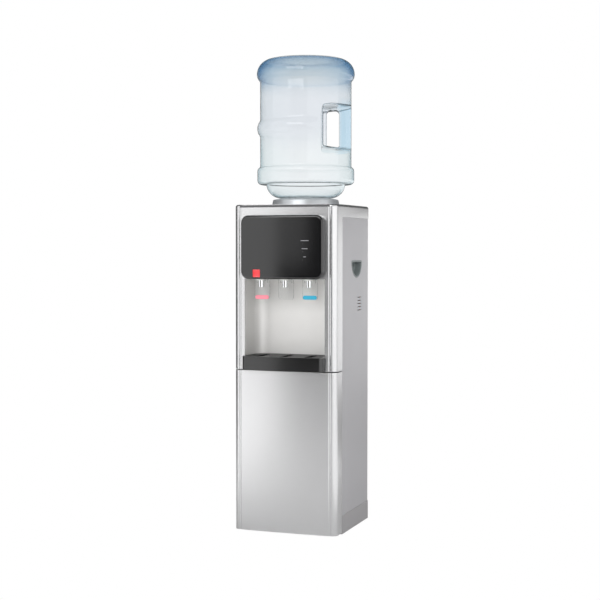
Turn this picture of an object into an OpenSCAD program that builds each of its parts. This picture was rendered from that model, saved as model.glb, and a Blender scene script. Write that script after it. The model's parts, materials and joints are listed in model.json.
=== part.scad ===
// Free-standing water cooler with an upturned bottle, three taps, a drip tray and a storage door.
// The front faces -Y, the origin is on the floor under the middle of the whole object.

/* [Cabinet] */
// Width across the mouldings
cab_w = 300; // [296:1:320]
// Depth of the cabinet without the panel and the condenser
cab_d = 300; // [298:1:320]
// Height of the cabinet up to its deck
cab_h = 910; // [905:1:940]
// Plan radius of the front corner columns
corner_r = 19; // [15:1:22]
// Plan radius of the rear corners
rear_r = 8.5; // [8.5:0.5:12]
// How far the middle of the front bows out
face_bow = 3; // [1.5:0.5:4]
// Wall of the front mouldings
mould_t = 3; // [2.5:0.5:3.5]
// How far the front mouldings wrap back along the sides
wrap_d = 55; // [50:1:60]
// Sheet metal of the side and rear panels
sheet_t = 1.5; // [1:0.25:1.75]
// Wall of the skirts that lap over the side panels
lap_t = 1.5; // [1:0.25:2]
// Thickness of the deck of the top cover
cover_h = 8; // [7:0.5:10]
// Rounding of the top edges
cover_edge = 7; // [4:0.5:7]
// Height of the skirt of the top cover
top_skirt_h = 35; // [25:1:45]
// Height of the skirt of the base
base_skirt_h = 51; // [40:1:60]
// Height of the glides
foot_h = 4; // [3:0.5:8]
// Radius of the glides
foot_r = 14; // [10:1:18]
// Steel of the base plate
plate_t = 3; // [2:0.5:4]

/* [Front] */
// Height of the upper front above the storage door
upper_h = 457; // [450:1:465]
// Gap between the door and the upper moulding
split_gap = 3; // [2.5:0.5:4]
// Width of the dispensing recess
recess_w = 234; // [230:1:240]
// Height of the dispensing recess with the tray
recess_h = 250; // [240:1:260]
// Depth of the recess behind the front corner line
recess_d = 97; // [92:1:98]
// Radius of the rear corners of the recess
recess_r = 34; // [20:1:40]
// Wall of the recess liner
liner_t = 2.5; // [2:0.5:3]
// Width of the control panel
panel_w = 238; // [232:1:244]
// Height of the control panel
panel_h = 174; // [165:1:178]
// How far the control panel stands out
panel_out = 24; // [20:0.5:26]
// Corner radius of the control panel
panel_r = 20; // [14:1:26]
// Rounding of the front edge of the control panel
panel_edge = 6; // [3:0.5:8]
// Wall of the control panel
panel_t = 3; // [2:0.5:4]

/* [Taps] */
// Distance between the taps
tap_pitch = 70; // [68:1:74]
// Outer radius of a spout
spout_r = 7; // [6:0.5:7]
// Radius of the water way
spout_bore_r = 4; // [3:0.5:4.5]
// Height of the spout's end below the panel
spout_drop = 23; // [18:1:25]
// Width of a push paddle
paddle_w = 44; // [41:1:46]
// How far a paddle hangs below the panel
paddle_drop = 57; // [50:1:64]
// Height of the coloured marker
marker_h = 11; // [9:1:14]
// Side of the child lock button
lock_w = 21; // [16:0.5:24]

/* [Tray] */
// Height of the tray
tray_h = 38; // [32:1:42]
// Wall of the tray
tray_t = 2.5; // [2:0.5:3]
// Radius of the front corners of the tray
tray_r = 13; // [8:1:18]
// Radius of the rear corners of the tray
tray_rear_r = 40; // [36:1:44]
// Thickness of the grille
grille_t = 3; // [2:0.5:4]

/* [Bottle] */
// How far the axis of the bottle lies behind the middle
bottle_y = 25; // [20:1:28]
// Largest radius of the bottle
bottle_r = 138.5; // [136:0.5:141]
// Radius of the plain wall
wall_r = 129.5; // [128:0.5:131]
// Height of the bottle above its seat
bottle_h = 393; // [388:1:420]
// Wall of the bottle
bottle_t = 2; // [1.5:0.25:2.5]
// Radius of the neck
neck_r = 27.5; // [26:0.5:28]
// Length of the neck below the seat
neck_h = 82; // [78:1:84]
// Direction of the handle in plan
handle_turn = 20; // [0:5:45]
// Outer radius of the bottle collar
collar_r = 96; // [92:1:100]
// Height of the collar
collar_h = 19; // [16:1:20]

/* [Cooling] */
// Air left in front of and behind the cold tank's jacket
jacket_air = 4.5; // [3:0.5:6]
// Height of the cold tank
tank_h = 212; // [195:1:215]
// Thickness of the foam round the cold tank
foam_t = 13; // [11:0.5:14]
// Outer radius of the hot tank
hot_r = 48; // [42:1:50]
// Height of the hot tank
hot_h = 110; // [95:1:112]
// Radius of the compressor
comp_r = 58; // [50:1:60]
// Height of the compressor shell
comp_h = 140; // [125:1:145]
// Radius of the condenser tube
cond_r = 2.4; // [2:0.2:2.6]
// Distance between the runs of the condenser
cond_pitch = 44; // [40:1:46]
// Radius of a condenser wire
wire_r = 0.8; // [0.6:0.1:1]

/* [Storage] */
// Width of the storage compartment
store_w = 240; // [225:1:244]
// Wall of the storage liner
store_t = 2.5; // [2:0.5:3]
// Height of the storage floor
store_z = 60; // [55:1:66]
// Height of the step over the compressor
step_z = 186; // [180:1:192]
// Radius of the door hinge pins
hinge_r = 3; // [2.5:0.25:3]

/* [Clearances] */
// Running clearance of pins, on the radius
run = 0.05; // [0.03:0.01:0.08]
// Gap between a seated piece and its seat
seat_gap = 0.3; // [0.2:0.05:0.4]
// Gap round a piece that slides
slide_gap = 1; // [0.8:0.1:1.2]

/* [Hidden] */
$fn = 96;

// Overlap that keeps cuts and joined solids clean
eps = 0.5;
side_x = cab_w / 2;
front_y = -cab_d / 2;
back_y = cab_d / 2;
column_y = front_y + face_bow;
split_z = cab_h - upper_h;
wrap_y = front_y + wrap_d;
crease_x = side_x - corner_r;
bow_r = (crease_x * crease_x + face_bow * face_bow) / (2 * face_bow);
panel_out_x = side_x - lap_t;
panel_out_y = back_y - lap_t;
panel_in_x = panel_out_x - sheet_t;
panel_in_y = panel_out_y - sheet_t;
base_top = foot_h + plate_t;
door_gap = 1;
door_z0 = base_top + door_gap;
frame_z0 = split_z + split_gap;
recess_top = frame_z0 + recess_h;
recess_x = recess_w / 2;
recess_back = column_y + recess_d;
cover_z = cab_h - cover_h;
skirt_z = cab_h - top_skirt_h;
lap_h = 15;
tip_y = front_y - panel_out;

// Plan of the front moulding, drawn in by t, its rear edge at rear_y
module front_plan(t, rear_y) {
    round_r = corner_r - t;
    column_mid_y = column_y + corner_r;
    for (side = [-1, 1])
        translate([side * crease_x, column_mid_y]) circle(round_r);
    translate([-crease_x, column_y + t]) square([2 * crease_x, rear_y - column_y - t]);
    translate([-side_x + t, column_mid_y]) square([cab_w - 2 * t, rear_y - column_mid_y]);
    intersection() {
        translate([0, front_y + bow_r]) circle(bow_r - t, $fn = 1440);
        translate([-crease_x, front_y]) square([2 * crease_x, face_bow + t + eps]);
    }
}

// Shallow groove between the bowed face and each corner column
module creases(z0, z1) {
    groove_r = 5;
    groove_depth = 1.6;
    for (side = [-1, 1])
        translate([side * crease_x, column_y + groove_depth - groove_r, z0])
            cylinder(h = z1 - z0, r = groove_r);
}

// Plan of the cabinet behind the mouldings, drawn in by t
module rear_plan(t, rear_y = back_y) {
    round_r = rear_r - t;
    mid_x = side_x - rear_r;
    mid_y = back_y - rear_r;
    for (side = [-1, 1]) translate([side * mid_x, mid_y]) circle(round_r);
    translate([-side_x + t, wrap_y]) square([cab_w - 2 * t, mid_y - wrap_y]);
    translate([-mid_x, wrap_y]) square([2 * mid_x, rear_y - t - wrap_y]);
}

// Half of a slab's section, its outer top corner rounded by e
module edge_section(x, h, e) {
    square([x - e, h]);
    square([x, h - e]);
    intersection() {
        translate([x - e, h - e]) circle(e);
        square([x, h]);
    }
}

module full_section(x, h, e) {
    edge_section(x, h, e);
    mirror([1, 0]) edge_section(x, h, e);
}

// Slab w by d by h with plan radii r_front and r_back and a rounded top edge
module rounded_slab(w, d, h, r_front, r_back, e) {
    for (side = [-1, 1]) {
        translate([side * (w / 2 - r_front), -d / 2 + r_front, 0])
            rotate_extrude() edge_section(r_front, h, e);
        translate([side * (w / 2 - r_back), d / 2 - r_back, 0])
            rotate_extrude() edge_section(r_back, h, e);
    }
    r_max = max(r_front, r_back);
    rotate([90, 0, 90]) linear_extrude(w - 2 * r_max, center = true) full_section(d / 2, h, e);
    translate([0, (r_front - r_back) / 2, 0]) rotate([90, 0, 0])
        linear_extrude(d - r_front - r_back, center = true) full_section(w / 2, h, e);
    if (r_max > r_back)
        translate([0, d / 2 - r_max, 0]) rotate([90, 0, 90])
            linear_extrude(w - 2 * r_back, center = true) edge_section(r_max, h, e);
}

// Flat rectangle with rounded corners, centred
module round_rect(w, h, r) {
    square([w - 2 * r, h], center = true);
    square([w, h - 2 * r], center = true);
    for (sx = [-1, 1], sy = [-1, 1])
        translate([sx * (w / 2 - r), sy * (h / 2 - r)]) circle(r);
}

// Round bar or hole along Y from y0 to y1
module bar_y(x, y0, y1, z, r) {
    translate([x, y0, z]) rotate([-90, 0, 0]) cylinder(h = y1 - y0, r = r);
}

// Round bar or hole along X from x0 to x1
module bar_x(x0, x1, y, z, r) {
    translate([x0, y, z]) rotate([0, 90, 0]) cylinder(h = x1 - x0, r = r);
}

// Box from one corner to the other
module block(low, high) {
    translate(low) cube(high - low);
}

// Straight round rod between two points
module rod(a, b, r) {
    run_v = b - a;
    len_v = norm(run_v);
    translate(a) rotate([0, acos(run_v[2] / len_v), atan2(run_v[1], run_v[0])])
        cylinder(h = len_v, r = r);
}

// Bent pipe through a list of points, round at its bends
module pipe(points, r) {
    last = len(points) - 1;
    for (i = [0 : last - 1]) rod(points[i], points[i + 1], r);
    if (last > 1) for (i = [1 : last - 1]) translate(points[i]) sphere(r);
}

// Hose with its bore open at both ends
module hose(points, r, bore) {
    open_l = 12;
    last = len(points) - 1;
    head = (points[1] - points[0]) / norm(points[1] - points[0]);
    tail = (points[last - 1] - points[last]) / norm(points[last - 1] - points[last]);
    difference() {
        pipe(points, r);
        rod(points[0] - eps * head, points[0] + open_l * head, bore);
        rod(points[last] - eps * tail, points[last] + open_l * tail, bore);
    }
}

// Base: feet, plate and skirt

foot_x = side_x - 32;
foot_front_y = wrap_y + 22;
foot_rear_y = back_y - 28;
hinge_in = 5.5;
hinge_x = -(side_x - hinge_in);
hinge_y = wrap_y - 10;
door_rear_y = wrap_y - 2.5;

module foot_places() {
    for (x = [-foot_x, foot_x], y = [foot_front_y, foot_rear_y]) translate([x, y, 0]) children();
}

stud_r = 4;
stud_h = 9;
comp_x = 0;
comp_y = panel_in_y - comp_r - 1;
comp_foot_x = 62;
comp_foot_y = 36;

module comp_foot_places() {
    for (x = [-comp_foot_x, comp_foot_x], y = [-comp_foot_y, comp_foot_y])
        translate([comp_x + x, comp_y + y, 0]) children();
}

comp_bolt_r = 3;
module base_plate() {
    tongue_r = 9;
    air_x = 112;
    lip_h = 20;
    color("dimgray") difference() {
        union() {
            translate([0, 0, foot_h]) linear_extrude(plate_t) rear_plan(0);
            translate([hinge_x + 3, hinge_y, foot_h]) cylinder(h = plate_t, r = tongue_r);
            block([-side_x, hinge_y, foot_h], [hinge_x + 3 + tongue_r, wrap_y + eps, base_top]);
            difference() {
                translate([0, 0, foot_h]) linear_extrude(base_skirt_h) rear_plan(0);
                translate([0, 0, foot_h - eps]) linear_extrude(base_skirt_h + 2 * eps)
                    rear_plan(lap_t);
                block([-side_x + lap_t, wrap_y - eps, foot_h - eps],
                    [side_x - lap_t, wrap_y + lap_h, foot_h + base_skirt_h + eps]);
                block([-air_x, back_y - lap_t - eps, base_top + lip_h],
                    [air_x, back_y + eps, foot_h + base_skirt_h + eps]);
            }
        }
        foot_places() translate([0, 0, foot_h - eps]) cylinder(h = plate_t + 2 * eps, r = stud_r);
        comp_foot_places() translate([0, 0, foot_h - eps])
            cylinder(h = plate_t + 2 * eps, r = comp_bolt_r);
        translate([hinge_x, hinge_y, foot_h - eps]) cylinder(h = plate_t + 2 * eps, r = hinge_r);
    }
}

module levelling_feet() {
    color("black") foot_places() {
        cylinder(h = foot_h, r = foot_r);
        cylinder(h = foot_h + stud_h, r = stud_r);
    }
}

// Sheet metal sides with a hand grip and a rear flange

flange_w = 14;
panel_top = skirt_z + lap_h;
grip_y = back_y - 114;
grip_z = frame_z0 + recess_h + 47;
grip_r = 43;
grip_deep = 21;
grip_wall = 2;

// Half disc with its flat side up, in plan Y by Z
module grip_shape(r) {
    intersection() {
        circle(r);
        translate([-grip_r - eps, -grip_r - eps]) square([2 * (grip_r + eps), grip_r + eps + r - grip_r]);
    }
}

module grip_prism(x0, x1, r) {
    translate([x0, grip_y, grip_z]) rotate([90, 0, 90]) linear_extrude(x1 - x0) grip_shape(r);
}

module side_panel() {
    bend_r = rear_r - lap_t;
    mid_x = side_x - rear_r;
    mid_y = back_y - rear_r;
    vent_y = back_y - 105;
    vent_w = 35;
    vent_h = 2;
    vent_pitch = 9;
    vent_z = recess_top - 92;
    difference() {
        translate([0, 0, base_top]) linear_extrude(panel_top - base_top) {
            translate([panel_in_x, wrap_y]) square([sheet_t, mid_y - wrap_y]);
            translate([mid_x - flange_w, panel_in_y]) square([flange_w, sheet_t]);
            intersection() {
                translate([mid_x, mid_y]) difference() {
                    circle(bend_r);
                    circle(bend_r - sheet_t);
                }
                translate([mid_x, mid_y]) square(rear_r);
            }
        }
        grip_prism(panel_in_x - eps, panel_out_x + eps, grip_r);
        for (i = [0 : 4])
            block([panel_in_x - eps, vent_y, vent_z + i * vent_pitch],
                [panel_out_x + eps, vent_y + vent_w, vent_z + i * vent_pitch + vent_h]);
        rear_screw_places() cylinder(h = 8 * sheet_t, r = screw_r, center = true);
    }
}

module side_panel_right() {
    color("darkgray") side_panel();
}

module side_panel_left() {
    color("darkgray") mirror([1, 0, 0]) side_panel();
}

module grip_cup() {
    rim = 3;
    rim_t = 1.2;
    difference() {
        union() {
            grip_prism(panel_out_x, panel_out_x + rim_t, grip_r + rim);
            grip_prism(panel_out_x - grip_deep, panel_out_x + rim_t, grip_r - run);
        }
        grip_prism(panel_out_x - grip_deep + grip_wall, side_x + eps, grip_r - grip_wall);
    }
}

module grip_right() {
    color("darkslategray") grip_cup();
}

module grip_left() {
    color("darkslategray") mirror([1, 0, 0]) grip_cup();
}

// Rear panel and what is set in it

bay_top = 236;
rear_x = side_x - rear_r - 1;
rear_out = panel_in_y;
screw_r = 1.8;
screw_x = side_x - rear_r - flange_w / 2;
fit_z = bay_top + 46;
inlet_x = side_x - 54;
inlet_w = 27;
inlet_h = 20;
switch_gap_x = 26;
hot_switch_x = 48;
cold_switch_x = hot_switch_x - switch_gap_x;
switch_w = 12;
switch_h = 22;
knob_x = -26;
shaft_r = 3;
drain_x = 58 - side_x;
drain_r = 8;

module rear_screw_places() {
    rows = 4;
    first_z = bay_top + 12;
    step = (panel_top - 24 - first_z) / (rows - 1);
    for (side = [-1, 1], i = [0 : rows - 1])
        translate([side * screw_x, panel_in_y + sheet_t / 2, first_z + i * step])
            rotate([90, 0, 0]) children();
}

fit_margin = 24;
plate_top_z = fit_z + fit_margin;
clip_in = 20;

module rear_sheet(z0, z1) {
    difference() {
        block([-rear_x, rear_out - sheet_t, z0], [rear_x, rear_out, z1]);
        rear_screw_places() cylinder(h = 8 * sheet_t, r = screw_r, center = true);
    }
}

module rear_panel() {
    color("gainsboro") difference() {
        rear_sheet(plate_top_z + seat_gap, panel_top);
        for (x = [-cond_x + clip_in, cond_x - clip_in], z = [cond_z0 + cond_pitch, cond_top - cond_pitch])
            bar_y(x, rear_out - 2 * sheet_t, rear_out + eps, z, screw_r);
    }
}

// Lower strip of the rear sheet, with the fittings
module service_plate() {
    color("gainsboro") difference() {
        rear_sheet(bay_top, plate_top_z);
        translate([inlet_x, rear_out, fit_z]) cube([inlet_w, 4 * sheet_t, inlet_h], center = true);
        for (x = [hot_switch_x, cold_switch_x])
            translate([x, rear_out, fit_z])
                cube([switch_w + 2, 4 * sheet_t, switch_h + 2], center = true);
        bar_y(knob_x, rear_out - 2 * sheet_t, rear_out + eps, fit_z, shaft_r + 1);
        bar_y(drain_x, rear_out - 2 * sheet_t, rear_out + eps, fit_z, drain_r);
    }
}

module rear_panel_screws() {
    head_r = 3.6;
    head_t = 1.8;
    shank = 3 * sheet_t + 2;
    color("silver") rear_screw_places() {
        translate([0, 0, -sheet_t / 2 - head_t]) cylinder(h = head_t, r = head_r);
        translate([0, 0, -sheet_t / 2 - eps]) cylinder(h = shank, r = screw_r - run);
    }
}

// Top cover with its dark front trim

trim_h = 6;
trim_z = cover_z;
trim_d = 16;
well_hole_r = 52;

module top_cover() {
    color("silver") difference() {
        union() {
            translate([0, face_bow / 2, cover_z])
                rounded_slab(cab_w, cab_d - face_bow, cover_h, corner_r, rear_r, cover_edge);
            translate([0, 0, skirt_z]) linear_extrude(cover_z - skirt_z + eps) difference() {
                rear_plan(0);
                rear_plan(lap_t);
                translate([-side_x + lap_t, wrap_y - eps]) square([cab_w - 2 * lap_t, lap_h]);
            }
        }
        translate([0, bottle_y, cover_z - eps]) cylinder(h = cover_h + 2 * eps, r = well_hole_r);
        block([-crease_x, front_y - eps, cover_z - eps],
            [crease_x, column_y + trim_d, cab_h + eps]);
    }
}

module top_trim() {
    set_back = 0.6;
    color("dimgray") translate([0, 0, trim_z]) linear_extrude(trim_h) intersection() {
        front_plan(set_back, wrap_y);
        translate([-crease_x, front_y]) square([2 * crease_x, face_bow + trim_d]);
    }
}

// Upper front moulding

service_x = 100;
service_top = recess_top + panel_h - 14;

module front_frame() {
    sill_h = 3;
    color("silver") difference() {
        translate([0, 0, frame_z0]) union() {
            linear_extrude(cover_z - frame_z0) difference() {
                front_plan(0, wrap_y);
                front_plan(mould_t, wrap_y + eps);
            }
            linear_extrude(sill_h) difference() {
                front_plan(mould_t / 2, wrap_y);
                translate([-recess_x - liner_t, front_y - eps])
                    square([recess_w + 2 * liner_t, wrap_d + 2 * eps]);
            }
        }
        block([-recess_x, front_y - eps, frame_z0 - eps], [recess_x, wrap_y - 20, recess_top]);
        block([-service_x, front_y - eps, recess_top - eps], [service_x, wrap_y - 20, service_top]);
        creases(frame_z0 - eps, cover_z + eps);
        translate([hinge_x, hinge_y, frame_z0 - eps]) cylinder(h = sill_h + 2 * eps, r = hinge_r);
    }
}

// Recess liner, open to the front

// Plan of the recess, grown by t
module recess_plan(t) {
    r = recess_r + t;
    mid_x = recess_x - recess_r;
    mid_y = recess_back - recess_r;
    for (side = [-1, 1]) translate([side * mid_x, mid_y]) circle(r);
    translate([-recess_x - t, front_y]) square([recess_w + 2 * t, mid_y - front_y]);
    translate([-mid_x, front_y]) square([2 * mid_x, recess_back + t - front_y]);
}

tap_hole_w = paddle_w - 3;
tap_hole_y0 = front_y - 7;
tap_hole_y1 = front_y + 40;

module tap_holes(z0, z1) {
    for (i = [-1 : 1])
        block([i * tap_pitch - tap_hole_w / 2, tap_hole_y0, z0],
            [i * tap_pitch + tap_hole_w / 2, tap_hole_y1, z1]);
}

module recess_liner() {
    color("lightgray") difference() {
        translate([0, 0, frame_z0]) linear_extrude(recess_h + liner_t) intersection() {
            recess_plan(liner_t);
            front_plan(mould_t, back_y);
        }
        translate([0, 0, frame_z0 + liner_t]) linear_extrude(recess_h - liner_t)
            recess_plan(0);
        tap_holes(recess_top - eps, recess_top + liner_t + eps);
    }
}

// Control panel

panel_z = recess_top + panel_h / 2;
panel_skin = tip_y + 0.3;
lock_x = -(tap_pitch + 2);
lock_z = recess_top + 15.5;
lamp_x = 63;
lamp_r = 1.5;
lamp_zs = [96, 75, 53];
panel_boss_r = 5;

module panel_body(inset, skin_y, edge) {
    translate([0, column_y + 6, panel_z]) rotate([90, 0, 0])
        rounded_slab(panel_w - 2 * inset, panel_h - 2 * inset, column_y + 6 - skin_y,
            panel_r - inset, panel_r - inset, edge);
}

module control_panel() {
    boss_places = [[-90, 62], [90, 62], [-90, -40], [90, -40]];
    color([0.08, 0.08, 0.09]) difference() {
        union() {
            difference() {
                panel_body(0, panel_skin, panel_edge);
                panel_body(panel_t, panel_skin + panel_t, panel_edge / 2);
            }
            for (p = boss_places)
                bar_y(p[0], panel_skin + panel_t - eps, column_y + 6, panel_z + p[1], panel_boss_r);
        }
        translate([0, 0, recess_top - eps]) linear_extrude(panel_h + 2 * eps)
            front_plan(0, back_y);
        tap_holes(recess_top - eps, recess_top + panel_t + eps);
        translate([lock_x, panel_skin, lock_z])
            cube([lock_w + seat_gap * 2, 3 * panel_t, lock_w + seat_gap * 2], center = true);
        for (z = lamp_zs)
            bar_y(lamp_x, panel_skin - eps, panel_skin + panel_t + eps, recess_top + z, lamp_r);
    }
}

module indicator_lenses() {
    tail = 2;
    color("lightyellow") for (z = lamp_zs)
        bar_y(lamp_x, panel_skin, panel_skin + panel_t + tail, recess_top + z, lamp_r - run);
}

module child_lock_button() {
    brim = 1.5;
    brim_t = 1.5;
    proud = 0.2;
    brim_y = panel_skin + panel_t + seat_gap;
    color([0.93, 0.25, 0.25]) {
        block([lock_x - lock_w / 2, panel_skin - proud, lock_z - lock_w / 2],
            [lock_x + lock_w / 2, brim_y + brim_t, lock_z + lock_w / 2]);
        block([lock_x - lock_w / 2 - brim, brim_y, lock_z - lock_w / 2],
            [lock_x + lock_w / 2 + brim, brim_y + brim_t, lock_z + lock_w / 2 + brim]);
    }
}

// Taps: a rail, three valve bodies with spouts, three push paddles

tap_front_y = front_y - 5;
tap_back_y = front_y + 36;
tap_body_x = 14;
tap_body_z0 = recess_top - 4;
tap_body_z1 = recess_top + 36;
spout_y = front_y + 7;
paddle_y = spout_y + 10;
pivot_z = recess_top + 12;
pivot_r = 2;
barb_r = 4.5;
barb_z = recess_top + 20;
barb_end_y = tap_back_y + 20;

module tap_rail() {
    rail_x = 102;
    rail_h = 44;
    rail_foot = 12;
    color("silver") difference() {
        union() {
            block([-rail_x, tap_back_y, recess_top + liner_t],
                [rail_x, tap_back_y + sheet_t, recess_top + liner_t + rail_h]);
            block([-rail_x, tap_back_y, recess_top + liner_t],
                [rail_x, tap_back_y + rail_foot, recess_top + liner_t + sheet_t]);
        }
        tap_holes(recess_top - eps, recess_top + liner_t + 2 * sheet_t + eps);
        for (i = [-1 : 1])
            bar_y(i * tap_pitch, tap_back_y - eps, tap_back_y + sheet_t + eps, barb_z, barb_r);
    }
}

module tap(i) {
    lever_gap = 2.5;
    translate([i * tap_pitch, 0, 0]) difference() {
        union() {
            block([-tap_body_x, tap_front_y + tap_body_x, tap_body_z0],
                [tap_body_x, tap_back_y, tap_body_z1]);
            translate([0, tap_front_y + tap_body_x, tap_body_z0])
                cylinder(h = tap_body_z1 - tap_body_z0, r = tap_body_x);
            translate([0, spout_y, recess_top - spout_drop])
                cylinder(h = spout_drop, r = spout_r);
            bar_y(0, tap_back_y - eps, barb_end_y, barb_z, barb_r - run);
        }
        translate([0, spout_y, recess_top - spout_drop - eps])
            cylinder(h = spout_drop + 14, r = spout_bore_r);
        bar_y(0, spout_y, barb_end_y + eps, barb_z, spout_bore_r - 1);
        translate([0, spout_y, recess_top]) cylinder(h = 20, r = spout_bore_r - 1);
        block([-tap_body_x - eps, paddle_y - lever_gap, tap_body_z0 - eps],
            [tap_body_x + eps, tap_back_y - 6, recess_top + 2]);
        bar_x(-tap_body_x - eps, tap_body_x + eps, paddle_y, pivot_z, pivot_r + run);
    }
}

module hot_tap() {
    color("whitesmoke") tap(-1);
}

module room_tap() {
    color("whitesmoke") tap(0);
}

module cold_tap() {
    color("whitesmoke") tap(1);
}

paddle_t = 2.6;
paddle_z0 = recess_top - paddle_drop;
ear_x = tap_body_x + seat_gap;
ear_t = 2.6;

// Clear blade with two ears and a pin through the valve body
module paddle(i) {
    blade_top = recess_top - 2.5;
    foot_r = 8;
    ear_w = 11;
    translate([i * tap_pitch, paddle_y, 0]) {
        translate([0, paddle_t / 2, (paddle_z0 + blade_top) / 2]) rotate([90, 0, 0])
            linear_extrude(paddle_t) {
                translate([0, foot_r / 2]) square([paddle_w, blade_top - paddle_z0 - foot_r],
                    center = true);
                round_rect(paddle_w, blade_top - paddle_z0, foot_r);
            }
        for (side = [-1, 1]) {
            block([side * (ear_x + ear_t / 2) - ear_t / 2, -paddle_t / 2, blade_top - 8],
                [side * (ear_x + ear_t / 2) + ear_t / 2, paddle_t / 2 + 3, pivot_z]);
            bar_x(side * (ear_x + ear_t / 2) - ear_t / 2, side * (ear_x + ear_t / 2) + ear_t / 2,
                0, pivot_z, ear_w / 2);
        }
        bar_x(-ear_x - ear_t / 2, ear_x + ear_t / 2, 0, pivot_z, pivot_r);
    }
}

module hot_paddle() {
    color([0.9, 0.93, 0.95, 0.6]) paddle(-1);
}

module room_paddle() {
    color([0.9, 0.93, 0.95, 0.6]) paddle(0);
}

module cold_paddle() {
    color([0.9, 0.93, 0.95, 0.6]) paddle(1);
}

// Coloured bar on the lower edge of a paddle
module marker(i) {
    bar_t = 1.6;
    bar_r = 5;
    lift = 1;
    translate([i * tap_pitch, paddle_y - paddle_t / 2, paddle_z0 + lift + marker_h / 2])
        rotate([90, 0, 0]) linear_extrude(bar_t)
            round_rect(paddle_w - 4, marker_h, min(bar_r, marker_h / 2 - eps));
}

module hot_marker() {
    color([0.95, 0.35, 0.42]) marker(-1);
}

module cold_marker() {
    color([0.1, 0.65, 0.82]) marker(1);
}

// Drip tray and grille

tray_z0 = frame_z0 + liner_t + seat_gap;
tray_top = frame_z0 + tray_h;
tray_front_x = recess_x + 1;
tray_front_y1 = front_y - seat_gap;
tray_back_y = recess_back - 6;
grille_z0 = tray_top - grille_t;

// Plan of the part of the tray in front of the moulding
module tray_front_plan() {
    mid_x = tray_front_x - tray_r;
    mid_y = tip_y + tray_r;
    for (side = [-1, 1]) translate([side * mid_x, mid_y]) circle(tray_r);
    translate([-mid_x, tip_y]) square([2 * mid_x, tray_front_y1 - tip_y]);
    translate([-tray_front_x, mid_y]) square([2 * tray_front_x, tray_front_y1 - mid_y]);
}

// Plan of the part of the tray inside the recess
module tray_rear_plan() {
    x = recess_x - slide_gap;
    mid_x = x - tray_rear_r;
    mid_y = tray_back_y - tray_rear_r;
    y0 = tray_front_y1 - eps;
    for (side = [-1, 1]) translate([side * mid_x, mid_y]) circle(tray_rear_r);
    translate([-x, y0]) square([2 * x, mid_y - y0]);
    translate([-mid_x, y0]) square([2 * mid_x, tray_back_y - y0]);
}

// Plan of the space in the tray, drawn in by t from its sides
module tray_hollow_plan(t) {
    x = recess_x - slide_gap - t;
    front_r = tray_r - t;
    back_r = tray_rear_r - t;
    front_mid_y = tip_y + tray_r;
    back_mid_y = tray_back_y - tray_rear_r;
    for (side = [-1, 1]) {
        translate([side * (x - front_r), front_mid_y]) circle(front_r);
        translate([side * (x - back_r), back_mid_y]) circle(back_r);
    }
    translate([-x, front_mid_y]) square([2 * x, back_mid_y - front_mid_y]);
    translate([-x + front_r, tip_y + t]) square([2 * (x - front_r), tray_r]);
    translate([-x + back_r, front_mid_y])
        square([2 * (x - back_r), tray_back_y - t - front_mid_y]);
}

tray_rim = 4;

module drip_tray() {
    ledge_w = 2;
    ledge_h = 3;
    floor_z = tray_z0 + tray_t;
    color([0.1, 0.1, 0.1]) difference() {
        union() {
            translate([0, 0, tray_z0]) linear_extrude(tray_top - tray_z0) {
                tray_front_plan();
                tray_rear_plan();
            }
            translate([0, 0, frame_z0]) linear_extrude(tray_top - frame_z0) tray_front_plan();
        }
        translate([0, 0, floor_z]) linear_extrude(grille_z0 - ledge_h - floor_z)
            tray_hollow_plan(tray_t);
        translate([0, 0, floor_z + eps]) linear_extrude(tray_h)
            tray_hollow_plan(tray_rim + ledge_w);
        translate([0, 0, grille_z0 - seat_gap]) linear_extrude(tray_h) tray_hollow_plan(tray_rim);
    }
}

// Flat grille with one long drain opening under each tap
module drip_grille() {
    drain_w = 18;
    drain_y0 = front_y - 14;
    drain_y1 = front_y + 60;
    color([0.3, 0.31, 0.32]) difference() {
        translate([0, 0, grille_z0]) linear_extrude(grille_t)
            tray_hollow_plan(tray_rim + seat_gap);
        for (i = [-1 : 1])
            translate([i * tap_pitch, (drain_y0 + drain_y1) / 2, grille_z0 - eps])
                linear_extrude(grille_t + 2 * eps)
                    round_rect(drain_w, drain_y1 - drain_y0, drain_w / 2 - eps);
    }
}

// Bottle collar and water guard

seat_z = cab_h + collar_h + 3;
neck_z0 = seat_z - neck_h;
seat_ring_r = 66;
guard_r = 34;
guard_t = 2.5;
well_floor = neck_z0 - 9;
lid_t = 4;
lid_z0 = well_floor - guard_t - lid_t;
probe_r = 7;

module bottle_collar() {
    rim_w = 5;
    throat_r = 56;
    color("silver") translate([0, bottle_y, 0]) rotate_extrude() polygon([
        [well_hole_r + 3, cab_h], [collar_r, cab_h], [collar_r - 3, seat_z - 6],
        [collar_r - 5, seat_z - 4], [collar_r - 5 - rim_w, seat_z - 3.2],
        [seat_ring_r, seat_z - seat_gap], [throat_r, seat_z - seat_gap],
        [well_hole_r + 3, seat_z - 4]]);
}

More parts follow.
